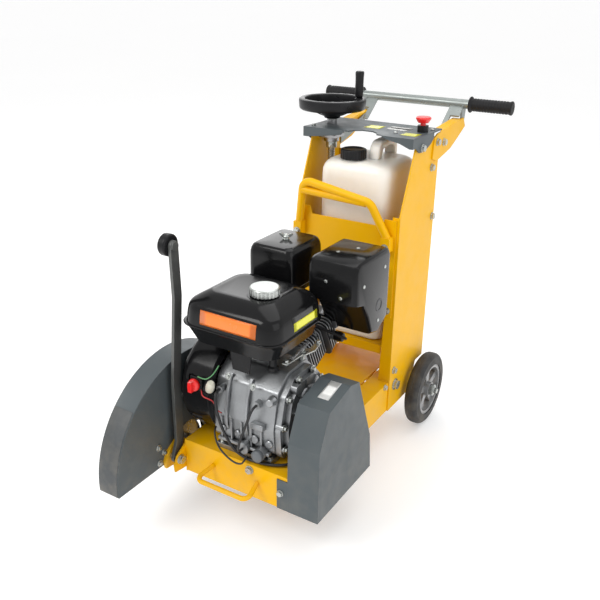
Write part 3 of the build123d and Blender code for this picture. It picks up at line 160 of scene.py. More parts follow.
def finish(name, colour, rough, metallic=0.0, spread=0.07, patch=9.0, grain=700.0, bump=0.10,
           edge=None, edge_radius=0.0016, dust=0.0, crevice_shade=0.0, coat=0.0, spread_rough=0.08,
           streak=None, subsurface=0.0, specular=0.5):
    """Procedural finish: large and small colour variation, grain, worn edges, dust near the ground,
    painted shade in crevices.
    """
    n = Nodes(name)
    broad = n.noise(patch, 4)
    small = n.noise(patch * 11, 3)
    tone = n.mix(n.span(broad, 0.3, 0.7, 0, 1), shade(colour, 1 - spread), shade(colour, 1 + spread))
    tone = n.mix(n.span(small, 0.35, 0.75, 0, 0.35), tone, shade(colour, 1 - 2.2 * spread))
    height = n.noise(grain, 2)
    if streak:
        stretched = n.add("Mapping", Vector=n.place, Scale=streak).outputs["Vector"]
        brushed = n.add("TexNoise", Vector=stretched, Scale=90.0, Detail=4.0).outputs["Fac"]
        tone = n.mix(n.span(brushed, 0.3, 0.7, 0, 0.5), tone, shade(colour, 0.8))
        height = n.maths("ADD", height, brushed)
    rounded = n.add("Bevel", samples=4, Radius=edge_radius).outputs["Normal"]
    if edge:
        normal = n.add("NewGeometry").outputs["Normal"]
        facing = n.add("VectorMath", operation="DOT_PRODUCT")
        n.tree.links.new(rounded, facing.inputs[0])
        n.tree.links.new(normal, facing.inputs[1])
        worn = n.maths("MULTIPLY", n.span(facing.outputs["Value"], 0.97, 0.80, 0, 1),
                       n.span(n.noise(70, 4), 0.50, 0.68, 0, 0.75))
        tone = n.mix(worn, tone, edge)
    if dust:
        low = n.add("SeparateXYZ")
        n.tree.links.new(n.place, low.inputs[0])
        near_ground = n.span(low.outputs["Z"], 0.34, 0.02, 0.12, 1.0)
        settled = n.maths("MULTIPLY", near_ground, n.span(n.noise(26, 5), 0.42, 0.75, 0, dust))
        tone = n.mix(settled, tone, DUST)
    # painted shade: ambient occlusion darkens the colour in crevices and between parts
    if crevice_shade:
        hidden = n.add("AmbientOcclusion", samples=4, Distance=0.012).outputs["AO"]
        tone = n.mix(n.span(hidden, 0.75, 0.25, 0, crevice_shade), tone, shade(colour, 0.16))
    n.tree.links.new(tone, n.shader.inputs["Base Color"])
    gloss = n.span(n.noise(patch * 4, 4), 0.3, 0.7, max(rough - spread_rough, 0.03),
                   rough + spread_rough)
    n.tree.links.new(gloss, n.shader.inputs["Roughness"])
    relief = n.add("Bump", Strength=bump, Distance=0.0006, Normal=rounded)
    n.tree.links.new(height, relief.inputs["Height"])
    n.tree.links.new(relief.outputs["Normal"], n.shader.inputs["Normal"])
    n.shader.inputs["Metallic"].default_value = metallic
    n.shader.inputs["Coat Weight"].default_value = coat
    n.shader.inputs["Coat Roughness"].default_value = 0.08
    n.shader.inputs["Specular IOR Level"].default_value = specular
    if subsurface:
        n.shader.inputs["Subsurface Weight"].default_value = subsurface
        n.shader.inputs["Subsurface Scale"].default_value = 0.012
        n.shader.inputs["Subsurface Radius"].default_value = (1.0, 0.8, 0.6)
    return n.material


YELLOW = (0.83, 0.44, 0.0)
SLATE = (0.074, 0.089, 0.096)
BLACK = (0.005, 0.005, 0.0055)
LOOK = {
    "yellow_paint": finish("yellow_paint", YELLOW, 0.36, spread=0.022, edge=(0.55, 0.30, 0.01),
                           dust=0.22, bump=0.05, patch=5, specular=0.2),
    "grey_paint": finish("grey_paint", SLATE, 0.44, spread=0.04, edge=(0.20, 0.21, 0.21), dust=0.16,
                         bump=0.08, patch=5, specular=0.35),
    "black_paint": finish("black_paint", BLACK, 0.15, spread=0.10, edge=(0.05, 0.05, 0.05), bump=0.02,
                          spread_rough=0.04, patch=12, specular=0.24),
    "zinc": finish("zinc", (0.50, 0.52, 0.50), 0.30, metallic=0.92, spread=0.10, bump=0.10, patch=40,
                   crevice_shade=0.35, grain=900),
    "steel": finish("steel", (0.42, 0.42, 0.43), 0.30, metallic=0.95, spread=0.08, bump=0.10, patch=24,
                    streak=(0.15, 3, 3), crevice_shade=0.4),
    "cast_aluminium": finish("cast_aluminium", (0.31, 0.32, 0.33), 0.36, metallic=0.8, spread=0.12,
                             bump=0.42, grain=340, patch=18, crevice_shade=0.9, edge=(0.72, 0.72, 0.72)),
    "wheel_alloy": finish("wheel_alloy", (0.34, 0.345, 0.35), 0.40, metallic=0.7, spread=0.08, bump=0.2,
                          grain=420, crevice_shade=0.6, dust=0.15),
    "cast_iron": finish("cast_iron", (0.10, 0.10, 0.105), 0.55, metallic=0.4, spread=0.12, bump=0.5,
                        grain=260, crevice_shade=0.4, edge=(0.3, 0.3, 0.3)),
    "rubber": finish("rubber", (0.009, 0.009, 0.010), 0.52, spread=0.15, bump=0.20, grain=900,
                     specular=0.25),
    "tyre": finish("tyre", (0.020, 0.020, 0.021), 0.62, spread=0.16, bump=0.30, grain=520, dust=0.22,
                   edge=(0.08, 0.08, 0.08)),
    "belt_rubber": finish("belt_rubber", (0.022, 0.022, 0.022), 0.7, spread=0.15, bump=0.3, grain=800),
    "black_plastic": finish("black_plastic", (0.008, 0.008, 0.009), 0.34, spread=0.14, bump=0.12,
                            grain=1100, edge=(0.04, 0.04, 0.04), specular=0.25),
    "tank_plastic": finish("tank_plastic", (0.84, 0.80, 0.73), 0.36, spread=0.035, bump=0.12, grain=160,
                           subsurface=0.35, patch=5, crevice_shade=0.12),
    "red_plastic": finish("red_plastic", (0.78, 0.012, 0.012), 0.25, spread=0.06, bump=0.04, coat=0.4,
                          edge=(0.85, 0.15, 0.12)),
    "cable_jacket": finish("cable_jacket", (0.012, 0.012, 0.013), 0.38, spread=0.12, bump=0.08),
    "front_wheel": finish("front_wheel", (0.035, 0.035, 0.037), 0.6, spread=0.15, bump=0.25, dust=0.35,
                          grain=480),
}
LABEL = {
    "orange": finish("label_orange", (0.93, 0.20, 0.012), 0.22, spread=0.05, bump=0.03, coat=0.4),
    "yellow": finish("label_yellow", (0.80, 0.78, 0.02), 0.24, spread=0.05, bump=0.03, coat=0.4),
    "white": finish("label_white", (0.86, 0.86, 0.84), 0.26, spread=0.03, bump=0.03, coat=0.3),
    "silver": finish("label_silver", (0.55, 0.55, 0.53), 0.30, metallic=0.6, spread=0.06, bump=0.05),
    "black": finish("label_black", (0.012, 0.012, 0.012), 0.25, spread=0.10, bump=0.03, coat=0.3),
    "green": finish("seal_green", (0.01, 0.42, 0.10), 0.35, spread=0.08, bump=0.06),
    "cream": finish("cream_plastic", (0.62, 0.60, 0.50), 0.35, spread=0.05, bump=0.06),
    "red_wire": finish("wire_red", (0.50, 0.03, 0.03), 0.35, spread=0.08, bump=0.05),
    "green_wire": finish("wire_green", (0.10, 0.32, 0.12), 0.35, spread=0.08, bump=0.05),
}
SPECIAL = {
    "handlebar": finish("bar_finish", TUBE_FINISH, 0.34, metallic=0.55, spread=0.05, bump=0.06, patch=12,
                        edge=(0.5, 0.5, 0.5)),
    "guide_arm": finish("arm_steel", (0.13, 0.135, 0.13), 0.42, metallic=0.6, spread=0.12, bump=0.16,
                        grain=420, patch=14, edge=(0.35, 0.35, 0.34)),
}
for part in frame["record"]["subparts"]:
    look = SPECIAL.get(part["node"], LOOK[part["material_slot"]])
    node = frame["nodes"][part["node"]]
    for index in range(max(1, len(node.material_slots))):
        if index < len(node.material_slots):
            node.material_slots[index].material = look
        else:
            node.data.materials.append(look)


# ---------------------------------------------------------------- mesh helpers
def smooth(mesh, angle=32):
    mesh.polygons.foreach_set("use_smooth", [True] * len(mesh.polygons))
    mesh.set_sharp_from_angle(angle=radians(angle))


def place(name, bm, body, slot, look=None, angle=32, stands_for=()):
    """Finishes a mesh in millimetres as a piece that rides on a body."""
    bmesh.ops.recalc_face_normals(bm, faces=bm.faces)
    mesh = bpy.data.meshes.new(name)
    bmesh.ops.scale(bm, vec=(MM, MM, MM), verts=bm.verts)
    bm.to_mesh(mesh)
    bm.free()
    smooth(mesh, angle)
    obj = bpy.data.objects.new(name, mesh)
    bpy.context.collection.objects.link(obj)
    mesh.materials.append(look or LOOK[slot])
    if body:
        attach(obj, body)
    if stands_for:
        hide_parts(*stands_for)
    return obj


def skin(bm, loops, caps=True):
    """Joins closed loops of points with quads; caps close the first and last."""
    rows = [[bm.verts.new(p) for p in loop] for loop in loops]
    count = len(rows[0])
    for low, high in zip(rows, rows[1:]):
        for i in range(count):
            j = (i + 1) % count
            bm.faces.new((low[i], low[j], high[j], high[i]))
    if caps:
        bm.faces.new(rows[0])
        bm.faces.new(rows[-1])


def frame_at(direction, hint=(0, 0, 1)):
    """Two unit vectors square to a direction."""
    d = Vector(direction).normalized()
    side = Vector(hint).cross(d)
    if side.length < 1e-4:
        side = Vector((1, 0, 0)).cross(d)
    side.normalize()
    return side, d.cross(side)


def lathe(bm, profile, origin, axis, segments=48):
    """Turns (distance along axis, radius) points round an axis."""
    a = Vector(axis).normalized()
    u, v = frame_at(a)
    loops = []
    for along, radius in profile:
        centre = Vector(origin) + a * along
        r = max(radius, 0.02)
        loops.append([centre + r * (cos(t) * u + sin(t) * v)
                      for t in (2 * pi * k / segments for k in range(segments))])
    skin(bm, loops)


def tube(bm, points, radius, segments=12):
    """Round bar along points, with a ring kept from twisting."""
    pts = [Vector(p) for p in points]
    u, v = frame_at(pts[1] - pts[0])
    loops = []
    for k, p in enumerate(pts):
        run = (pts[min(k + 1, len(pts) - 1)] - pts[max(k - 1, 0)]).normalized()
        u = (u - run * u.dot(run)).normalized()
        v = run.cross(u)
        loops.append([p + radius * (cos(t) * u + sin(t) * v)
                      for t in (2 * pi * i / segments for i in range(segments))])
    skin(bm, loops)


def prism(bm, outline, to_point, low, high):
    """Solid between two copies of an outline; to_point(u, v, w) gives a place."""
    skin(bm, [[to_point(u, v, w) for u, v in outline] for w in (low, high)])


def on_yz(y, z, x):
    return (x, y, z)


def on_xz(x, z, y):
    return (x, y, z)


def on_xy(x, y, z):
    return (x, y, z)


def block(bm, low, high, soft=0.0):
    """Block between two corners with softened edges."""
    made = bmesh.ops.create_cube(bm, size=1.0)["verts"]
    size = Vector(high) - Vector(low)
    middle = (Vector(high) + Vector(low)) / 2
    for vert in made:
        vert.co = middle + Vector((vert.co.x * size.x, vert.co.y * size.y, vert.co.z * size.z))
    if soft:
        edges = list(dict.fromkeys(e for vert in made for e in vert.link_edges))
        bmesh.ops.bevel(bm, geom=edges, offset=soft, segments=3, affect="EDGES", profile=0.6)


def arc(cy, cz, radius, start, stop, count):
    return [(cy + radius * cos(radians(start + (stop - start) * k / count)),
             cz + radius * sin(radians(start + (stop - start) * k / count))) for k in range(count + 1)]


def rounded(width, depth, radius, count=7):
    """Outline of a rounded rectangle about the origin, with points along its sides."""
    hw, hd = width / 2 - radius, depth / 2 - radius
    out = []
    for cx, cy, start in ((hw, hd, 0), (-hw, hd, 90), (-hw, -hd, 180), (hw, -hd, 270)):
        out += [(cx + radius * cos(radians(start + 90 * k / count)),
                 cy + radius * sin(radians(start + 90 * k / count))) for k in range(count + 1)]
    return out


def stack(bm, layers, centre):
    """Skin through rounded rectangles: (z, width, depth, radius, x shift, y shift)."""
    loops = []
    for z, width, depth, radius, dx, dy in layers:
        loops.append([(centre[0] + dx + x, centre[1] + dy + y, z)
                      for x, y in rounded(width, depth, radius)])
    skin(bm, loops)


def hexagon(bm, origin, axis, across, height, washer=1.7):
    """Hex head with a chamfered crown, on a washer."""
    a = Vector(axis).normalized()
    lathe(bm, [(0, across * 0.92), (washer - 0.3, across * 0.92), (washer, across * 0.88)],
          origin, a, 28)
    u, v = frame_at(a)
    base = Vector(origin) + a * washer
    loops = []
    for along, radius in ((0, across * 0.577), (height - 1.0, across * 0.577), (height, across * 0.49)):
        loops.append([base + a * along + radius * (cos(t) * u + sin(t) * v)
                      for t in (2 * pi * k / 6 for k in range(6))])
    skin(bm, loops)


# ---------------------------------------------------------------- cords
STOP_ROUTE = [(-52, -358, 366), (-52, -375, 366), (-46, -381, 332), (-36, -380, 294),
              (-22, -377, 258), (-2, -374, 228), (26, -369, 212), (62, -366, 211),
              (98, -358, 212), (128, -338, 213), (139, -304, 214), (140, -262, 213),
              (139, -216, 212), (138, -178, 205), (135, -150, 184), (128, -112, 171),
              (118, -60, 166), (113, -2, 165), (115, 58, 164), (121, 114, 161),
              (125, 160, 158), (126, 196, 164), (126, 220, 190), (126, 231, 228),
              (126.5, 238, 290), (127, 244, 360), (127.5, 252, 440), (127.5, 262, 525),
              (127.5, 275, 610), (129, 286, 690), (131, 294, 755), (133, 299, 796),
              (134, 300, 818), (134, 300, 838)]
LEAD_ROUTE = [(52, -358, 356), (52, -373, 356), (45, -380, 330), (35, -382, 300),
              (26, -386, 272), (20, -388, 246), (20, -385, 236), (20, -370, 236)]


def soft_line(name, route, radius, look, stands_for=()):
    """Cable along one smooth NURBS line, on the frame."""
    curve = bpy.data.curves.new(name, "CURVE")
    curve.dimensions = "3D"
    curve.bevel_depth = radius * MM
    curve.bevel_resolution = 4
    curve.resolution_u = 8
    curve.use_fill_caps = True
    line = curve.splines.new("NURBS")
    line.points.add(len(route) - 1)
    for point, (x, y, z) in zip(line.points, route):
        point.co = (x * MM, y * MM, z * MM, 1)
    line.order_u = 3
    line.use_endpoint_u = True
    curve.materials.append(look)
    obj = bpy.data.objects.new(name, curve)
    bpy.context.collection.objects.link(obj)
    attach(obj, "frame")
    if stands_for:
        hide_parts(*stands_for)


soft_line("stop_cable_line", STOP_ROUTE, 3.5, LOOK["cable_jacket"], ["stop_cable"])
soft_line("oil_lead_line", LEAD_ROUTE, 3.0, LOOK["cable_jacket"], ["oil_lead"])

# ---------------------------------------------------------------- fuel tank
TANK_MID = (-8.0, -278.0)
TANK_W, TANK_D = 260.0, 220.0
bm = bmesh.new()
stack(bm, [
    (487, TANK_W - 60, TANK_D - 40, 26, 6, 0), (486, TANK_W - 48, TANK_D - 28, 30, 6, 0),
    (488, TANK_W - 42, TANK_D - 23, 32, 6, 0), (497, TANK_W - 34, TANK_D - 18, 34, 5, 0),
    (515, TANK_W - 14, TANK_D - 8, 38, 2, 0), (523, TANK_W - 4, TANK_D - 3, 41, 0, 0),
    (525.5, TANK_W, TANK_D, 42, 0, 0), (526.2, TANK_W + 8, TANK_D + 3, 44, -2, 0),
    (527.2, TANK_W + 10, TANK_D + 4, 44, -2, 0), (529.0, TANK_W + 10, TANK_D + 4, 44, -2, 0),
    (530.0, TANK_W + 8, TANK_D + 3, 44, -2, 0), (530.6, TANK_W - 3, TANK_D - 3, 41, 0, 0),
    (536, TANK_W - 4, TANK_D - 4, 40, 0, 0), (560, TANK_W - 9, TANK_D - 8, 39, 0, 1),
    (571, TANK_W - 14, TANK_D - 11, 38, 0, 2), (577, TANK_W - 20, TANK_D - 16, 38, 0, 2),
    (582, TANK_W - 30, TANK_D - 24, 36, 0, 3), (592, TANK_W - 62, TANK_D - 50, 34, 0, 4),
    (598, TANK_W - 84, TANK_D - 68, 32, 0, 5), (601, TANK_W - 98, TANK_D - 82, 30, 0, 6),
    (602, TANK_W - 116, TANK_D - 98, 28, 0, 6), (601.2, TANK_W - 128, TANK_D - 108, 26, 0, 6)], TANK_MID)
lathe(bm, [(0, 40), (2.2, 39), (3.0, 30), (3.2, 27)], (34, -293, 599.5), (0, 0, 1))
place("fuel_tank_shell", bm, "frame", "black_paint", angle=24, stands_for=["fuel_tank"])
bm = bmesh.new()
for x, y in ((-50, -300), (60, -300), (8, -200)):
    lathe(bm, [(0, 13), (8, 13), (12, 9), (50, 9), (56, 14), (62, 14)], (x, y, 424.5), (0, 0, 1), 24)
# stay that joins the pan to the casting at the front
prism(bm, [(-20, 424), (26, 424), (32, 470), (36, 489), (-30, 489), (-26, 470)], on_xz, -346, -343)
place("fuel_tank_stays", bm, "frame", "black_paint", look=LOOK["black_plastic"])


FILM_GAP, FILM_THICKNESS = 0.4, 0.3


def lerp(a, b, t):
    return a + (b - a) * t


def tank_face(z, low, middle, high):
    """Where a face of the tank stands at a height, from its places at 536, 560 and 571."""
    return lerp(low, middle, (z - 536) / 24) if z < 560 else lerp(middle, high, (z - 560) / 11)


def tank_front(x, z):
    """Point just proud of the tank's front face."""
    return (x, tank_face(z, -386, -383, -380.5) - FILM_GAP, z)


def tank_side(y, z):
    """Point just proud of the tank's face on the belt side."""
    return (tank_face(z, 120, 117.5, 115) + FILM_GAP, y, z)


def patch(bm, rows):
    """Open sheet of quads through rows of points."""
    grid = [[bm.verts.new(p) for p in row] for row in rows]
    for a, b in zip(grid, grid[1:]):
        for i in range(len(a) - 1):
            bm.faces.new((a[i], a[i + 1], b[i + 1], b[i]))


def film(name, rows, look, slot):
    """Blank label through rows of points, on the frame."""
    bm = bmesh.new()
    patch(bm, rows)
    obj = place(name, bm, "frame", slot, look=look)
    solid = obj.modifiers.new("thickness", "SOLIDIFY")
    solid.thickness = FILM_THICKNESS * MM
    solid.offset = 0


steps = [k / 8 for k in range(9)]      # where a film has its rows and columns
film("label_front", [[tank_front(lerp(-78, 72, s), lerp(538, 571, t)) for s in steps] for t in steps],
     LABEL["orange"], "yellow_paint")
film("label_side_low", [[tank_side(lerp(-306, -208, s), lerp(537, 557, t)) for s in steps]
                        for t in steps], LABEL["yellow"], "yellow_paint")
film("label_side_high", [[tank_side(lerp(-310, -212, s), lerp(557, 571, t)) for s in steps]
                         for t in steps], LABEL["black"], "black_paint")

# ---------------------------------------------------------------- air filter and muffler
FILTER = (-46, -81)
bm = bmesh.new()
stack(bm, [(538, 104, 130, 14, 0, 0), (538, 112, 138, 16, 0, 0), (554, 113, 139, 16, 0, 0),
           (555, 126, 152, 20, 0, 0), (557, 128, 154, 21, 0, 0), (625, 128, 154, 21, 0, 0),
           (637, 126.5, 152.5, 20, 0, 0), (646, 122, 148, 19, 0, 0), (653, 114, 140, 17, 0, 0),
           (656.5, 104, 130, 15, 0, 0), (657.6, 90, 116, 12, 0, 0), (657.6, 30, 50, 10, 0, 0)],
      FILTER)
place("air_filter_box", bm, "frame", "black_plastic", look=LOOK["black_paint"], angle=24,
      stands_for=["air_filter"])
bm = bmesh.new()
lathe(bm, [(0, 9), (1.5, 9), (2, 7), (6, 7), (8, 5), (12, 4)], (*FILTER, 657.4), (0, 0, 1), 24)
for side in (-1, 1):
    wing = [(side * 3, 1), (side * 8, 2), (side * 15, 8), (side * 16, 12), (side * 12, 13.5),
            (side * 6, 9), (side * 2, 8)]
    prism(bm, wing, lambda u, v, w: (FILTER[0] + u, FILTER[1] + w + u * 0.35, 659 + v), -1.2, 1.2)
place("filter_wing_nut", bm, "frame", "zinc")

MUFFLER = [(-156, 556), (-156, 640), (-150, 652), (-138, 657), (0, 657), (14, 651), (20, 638),
           (20, 470), (-30, 443), (-66, 452), (-88, 500), (-118, 545), (-146, 552)]
cy, cz = (sum(p[k] for p in MUFFLER) / len(MUFFLER) for k in (0, 1))
bm = bmesh.new()
loops = []
for x, inset in ((62, 9), (64, 4), (70, 0.6), (76, 0), (178, 0), (185, 0.8), (190.4, 4.5), (192, 9)):
    loops.append([(x, y + (cy - y) * inset / 80, z + (cz - z) * inset / 80) for y, z in MUFFLER])
skin(bm, loops)
place("muffler_shield", bm, "frame", "black_paint", angle=28, stands_for=["muffler"])
bm = bmesh.new()
block(bm, (83, -72, 446), (96, -36, 470), 2)
lathe(bm, [(0, 17), (1.2, 17), (1.8, 14), (1.2, 12.4), (-6, 12.4), (-9, 3)],
      (191.2, -34, 520), (1, 0, 0), 32)
place("muffler_outlet", bm, "frame", "black_paint", look=LOOK["cast_iron"])
bm = bmesh.new()
for x, y, z, n in ((106, -92, 657, (0, 0, 1)), (134, -44, 657, (0, 0, 1)), (192, -12, 612, (1, 0, 0)),
                   (110, -155.4, 604, (0, -1, 0)), (192, -120, 596, (1, 0, 0)),
                   (150, -155.4, 570, (0, -1, 0)), (192, -36, 480, (1, 0, 0))):
    lathe(bm, [(0, 4.6), (0.8, 4.6), (2.0, 3.6), (2.4, 1.5)],
          Vector((x, y, z)) - 0.6 * Vector(n), n, 16)
place("muffler_screws", bm, "frame", "zinc")

# ---------------------------------------------------------------- blade guard
ARBOR = (-315.5, 153.0)
GUARD_R = 256.0
LEFT, RIGHT = -248.5, -187.0
GUARD_START = -3.36       # degrees where the rim begins, just under the arbor's height


def guard_side(notch):
    """Side plate outline: the rim's arc, with or without a notch over the arbor."""
    line = arc(*ARBOR, GUARD_R - 1.2, GUARD_START, 180 - GUARD_START, 56)
    if notch:
        line += arc(*ARBOR, 59, 194.7, -14.7, 24)
    return line


bm = bmesh.new()
for outer_x, inner_x, notch in ((LEFT, LEFT + 3, False), (RIGHT - 3, RIGHT, True)):
    outline = guard_side(notch)
    vertices = [[bm.verts.new((x, y, z)) for y, z in outline] for x in (outer_x, inner_x)]
    for i in range(len(outline)):
        j = (i + 1) % len(outline)
        bm.faces.new((vertices[0][i], vertices[0][j], vertices[1][j], vertices[1][i]))
    caps = [bm.faces.new(row) for row in vertices]
    bmesh.ops.triangulate(bm, faces=caps)
# rolled rim between the plates, with its welded seams
rim = []
for y, z in arc(0, 0, 1, GUARD_START, 180 - GUARD_START, 72):
    def at(x, r, y=y, z=z):
        return (x, ARBOR[0] + r * y, ARBOR[1] + r * z)
    rim.append([at(LEFT + 2, GUARD_R - 4), at(LEFT + 0.2, GUARD_R - 1.6), at(LEFT + 0.8, GUARD_R - 0.4),
                at(LEFT + 2.4, GUARD_R - 0.8), at(LEFT + 5, GUARD_R - 1.2), at(RIGHT - 5, GUARD_R - 1.2),
                at(RIGHT - 2.4, GUARD_R - 0.8), at(RIGHT - 0.8, GUARD_R - 0.4),
                at(RIGHT - 0.2, GUARD_R - 1.6), at(RIGHT - 2, GUARD_R - 4)])
skin(bm, rim)
# hose barb on the rim
barb_way = Vector((0, cos(radians(50)), sin(radians(50))))
lathe(bm, [(0, 9), (3, 9), (4, 6), (14, 6), (16, 5), (20, 6.0), (20.4, 5), (25, 6.0), (25.4, 4.6),
           (30, 4.2)], Vector((-218, *ARBOR)) + 254 * barb_way, barb_way, 24)
place("blade_guard_shell", bm, "frame", "grey_paint", stands_for=["blade_guard"], angle=28)
# turn-down plate over the front of the rim
bm = bmesh.new()
flap = []
for y, z in arc(0, 0, 1, 136, 183.3, 26):
    flap.append([(x, ARBOR[0] + r * y, ARBOR[1] + r * z)
                 for x, r in ((LEFT + 3.4, GUARD_R - 1.3), (LEFT + 3.4, GUARD_R - 0.1),
                              (RIGHT - 3.4, GUARD_R - 0.1), (RIGHT - 3.4, GUARD_R - 1.3))])
skin(bm, flap)
# darker grey than the guard's paint, as painted shade on the front-lower rim; dust settles near the
# ground as on the rest
front_shaded_grey = finish("guard_front_shaded_grey", (0.058, 0.064, 0.068), 0.5, spread=0.16,
                     edge=(0.25, 0.25, 0.25), dust=0.4, bump=0.2)
place("guard_front_plate", bm, "frame", "grey_paint", look=front_shaded_grey)
bm = bmesh.new()
for y, z in ((-430, 196), (-412, 174), (-430, 152)):
    hexagon(bm, (RIGHT, y, z), (1, 0, 0), 9, 5)
place("guard_bolts", bm, "frame", "zinc")

# ---------------------------------------------------------------- grips
bm = bmesh.new()
for side in (-1, 1):
    profile = [(169, 12.9), (169, 19), (169.6, 21.6), (171, 22.5), (173, 22.5), (174.4, 21.4),
               (176, 18.5), (178, 17.6)]
    for k in range(12):
        x = 180 + 8.4 * k
        profile += [(x, 17.2), (x + 1.4, 18.0), (x + 5.6, 18.0), (x + 7.0, 17.2)]
    profile += [(283, 17.4), (285.5, 18.4), (288, 19.4), (290.5, 19.2), (292, 17.6), (292.6, 14.5),
                (292.6, 4), (291.6, 3)]
    lathe(bm, [(side * x, r) for x, r in profile], (0, 549, 920), (1, 0, 0), 40)
place("rubber_grips", bm, "frame", "rubber", stands_for=["handlebar_grips"], angle=40)

# ---------------------------------------------------------------- handwheel and threaded screw
SCREW, KNOB = (-125.0, 276.0), (-68, 321)
bm = bmesh.new()
lathe(bm, [(-0.3, 11), (0, 21), (1.5, 22), (14, 22), (24, 19.5), (33, 18.5), (34, 17), (34, 6),
           (31, 3)], (*SCREW, 893), (0, 0, 1), 48)
RIM = [(75, 940), (76, 944), (79, 946), (88, 946), (91.2, 944), (92, 940), (91, 924), (89.5, 919),
       (86, 916.5), (80, 917), (75.5, 920)]
loops = [[(SCREW[0] + r * cos(t), SCREW[1] + r * sin(t), z) for r, z in RIM]
         for t in (2 * pi * k / 96 for k in range(97))]
skin(bm, loops, caps=False)
bmesh.ops.remove_doubles(bm, verts=bm.verts, dist=0.001)
# three broad dished spokes that widen at the hub and the rim
for spoke in range(3):
    middle = radians(60 + 120 * spoke)
    sections = []
    for r, half, low, high in ((18, 17, 896, 908), (30, 24, 900, 910), (46, 34, 907, 915),
                               (62, 44, 914, 922), (77, 58, 919, 930)):
        turn = half / r
        edge_line = ((-1, low), (-0.5, low - 1.0), (0, low - 1.3), (0.5, low - 1.0), (1, low),
                     (1, high - 2), (0.6, high - 1), (0, high - 2.6), (-0.6, high - 1), (-1, high - 2))
        sections.append([(SCREW[0] + r * cos(middle + s * turn),
                          SCREW[1] + r * sin(middle + s * turn), z) for s, z in edge_line])
    skin(bm, sections)
lathe(bm, [(0, 9), (1, 11), (9, 11), (11, 9), (12, 5)], (*KNOB, 934), (0, 0, 1), 24)
place("handwheel_casting", bm, "handwheel", "black_plastic", stands_for=["handwheel"], angle=38)
bm = bmesh.new()
lathe(bm, [(0, 9.5), (1, 10.5), (6, 10.8), (18, 11.8), (36, 11.2), (52, 11.4), (64, 12), (67.5, 11.4),
           (69, 9.6), (69.2, 5), (68.4, 3.5)], (*KNOB, 946.6), (0, 0, 1), 40)
place("crank_grip", bm, "crank_knob", "black_plastic", stands_for=["handwheel_knob"], angle=50)
bm = bmesh.new()
hexagon(bm, (*SCREW, 926.4), (0, 0, 1), 9, 6)
place("handwheel_nut", bm, "handwheel", "zinc")
# two-start trapezoidal thread on the lifting screw
bm = bmesh.new()
RING_POINTS, LEAD, ROOT_R, THREAD_DEPTH, RING_STEP = 20, 8.0, 8.4, 1.55, 0.8
loops = []
z = 130.0
while z < 806:
    ring = []
    for k in range(RING_POINTS):
        phase = ((z - LEAD * k / RING_POINTS) / (LEAD / 2)) % 1.0
        depth = min(1.0, max(0.0, abs(phase - 0.5) * 4 - 0.5))
        angle = 2 * pi * k / RING_POINTS
        r = ROOT_R + THREAD_DEPTH * depth
        ring.append((SCREW[0] + r * cos(angle), SCREW[1] + r * sin(angle), z))
    loops.append(ring)
    z += RING_STEP
skin(bm, loops)
lathe(bm, [(0, 6), (2, 10), (18, 10)], (*SCREW, 112), (0, 0, 1), 24)
lathe(bm, [(0, 9), (6, 10), (6, 15), (7, 15.6), (22.5, 15.6), (23.7, 15), (23.7, 10), (87, 9.9)],
      (*SCREW, 806), (0, 0, 1), 32)
hexagon(bm, (*SCREW, 893), (0, 0, -1), 17, 5.5, washer=1.4)
place("lifting_screw_thread", bm, "handwheel", "zinc", stands_for=["lifting_screw"], angle=40)

# ---------------------------------------------------------------- water tank
TANK, FILLER = (0.0, 268.0), (-22, 214)
bm = bmesh.new()
layers = []
for z, inset, radius in ((308, 16, 18), (308.4, 8, 22), (311, 3.5, 26), (316, 1, 29), (324, 0, 30),
                         (420, 0, 30), (424, 0.2, 30), (427, 2.2, 29), (433, 2.4, 29), (436, 0.2, 30),
                         (440, 0, 30), (560, 0, 30), (563, 0.2, 30), (566, 2.2, 29), (572, 2.4, 29),
                         (575, 0.2, 30), (579, 0, 30), (760, 0, 30), (776, 0.6, 31), (786, 3.4, 32),
                         (794, 8, 33), (799, 14, 34), (802, 22, 34), (803, 32, 30), (803, 60, 20)):
    layers.append((z, 204 - 2 * inset, 200 - 2 * inset, radius, 0, 0))
stack(bm, layers, TANK)
lathe(bm, [(0, 31), (2, 29), (3.5, 27), (9, 26.4), (20, 26.2), (20, 22), (4, 21.8)],
      (*FILLER, 801), (0, 0, 1), 40)
handle = [(236, 796), (241, 820), (247, 836), (256, 845), (268, 849), (330, 852), (343, 849),
          (351, 840), (356, 824), (357, 796), (338, 796), (336, 812), (332, 824), (324, 830), (300, 831),
          (276, 829), (267, 824), (262, 812), (260, 796)]
loops = []
for x, pull in ((10, 2.6), (11.4, 0.8), (14, 0), (36, 0), (38.6, 0.8), (40, 2.6)):
    ring = []
    for i, (y, z) in enumerate(handle):
        before, after = handle[i - 1], handle[(i + 1) % len(handle)]
        along = Vector((after[0] - before[0], after[1] - before[1])).normalized()
        ring.append((x, y + along.y * pull, z - along.x * pull))
    loops.append(ring)
skin(bm, loops)
place("water_tank_shell", bm, "frame", "tank_plastic", stands_for=["water_tank", "filler_neck"],
      angle=50)
bm = bmesh.new()
KNURLS = 20
loops = []
for z, r, knurl in ((805, 33.4, 1), (806, 35, 1), (827, 35, 1), (829.6, 33.6, 0.6), (831, 30, 0.1),
                    (831, 26, 0), (829.8, 24, 0), (829.8, 6, 0)):
    ring = []
    for k in range(KNURLS * 6):
        angle = 2 * pi * k / (KNURLS * 6)
        groove = 1.5 * knurl * max(0.0, cos(KNURLS * angle)) ** 3
        ring.append((FILLER[0] + (r - groove) * cos(angle), FILLER[1] + (r - groove) * sin(angle), z))
    loops.append(ring)
skin(bm, loops)
place("tank_cap_knurled", bm, "tank_cap", "black_plastic", stands_for=["tank_cap"], angle=40)

# ---------------------------------------------------------------- films on the dashboard and guard
def dash_point(x, y):
    """Point just above the dashboard's panel."""
    z = 880 - 2 * (y - 182) / 88 if y < 270 else 878
    return (x, y, z + 0.25)


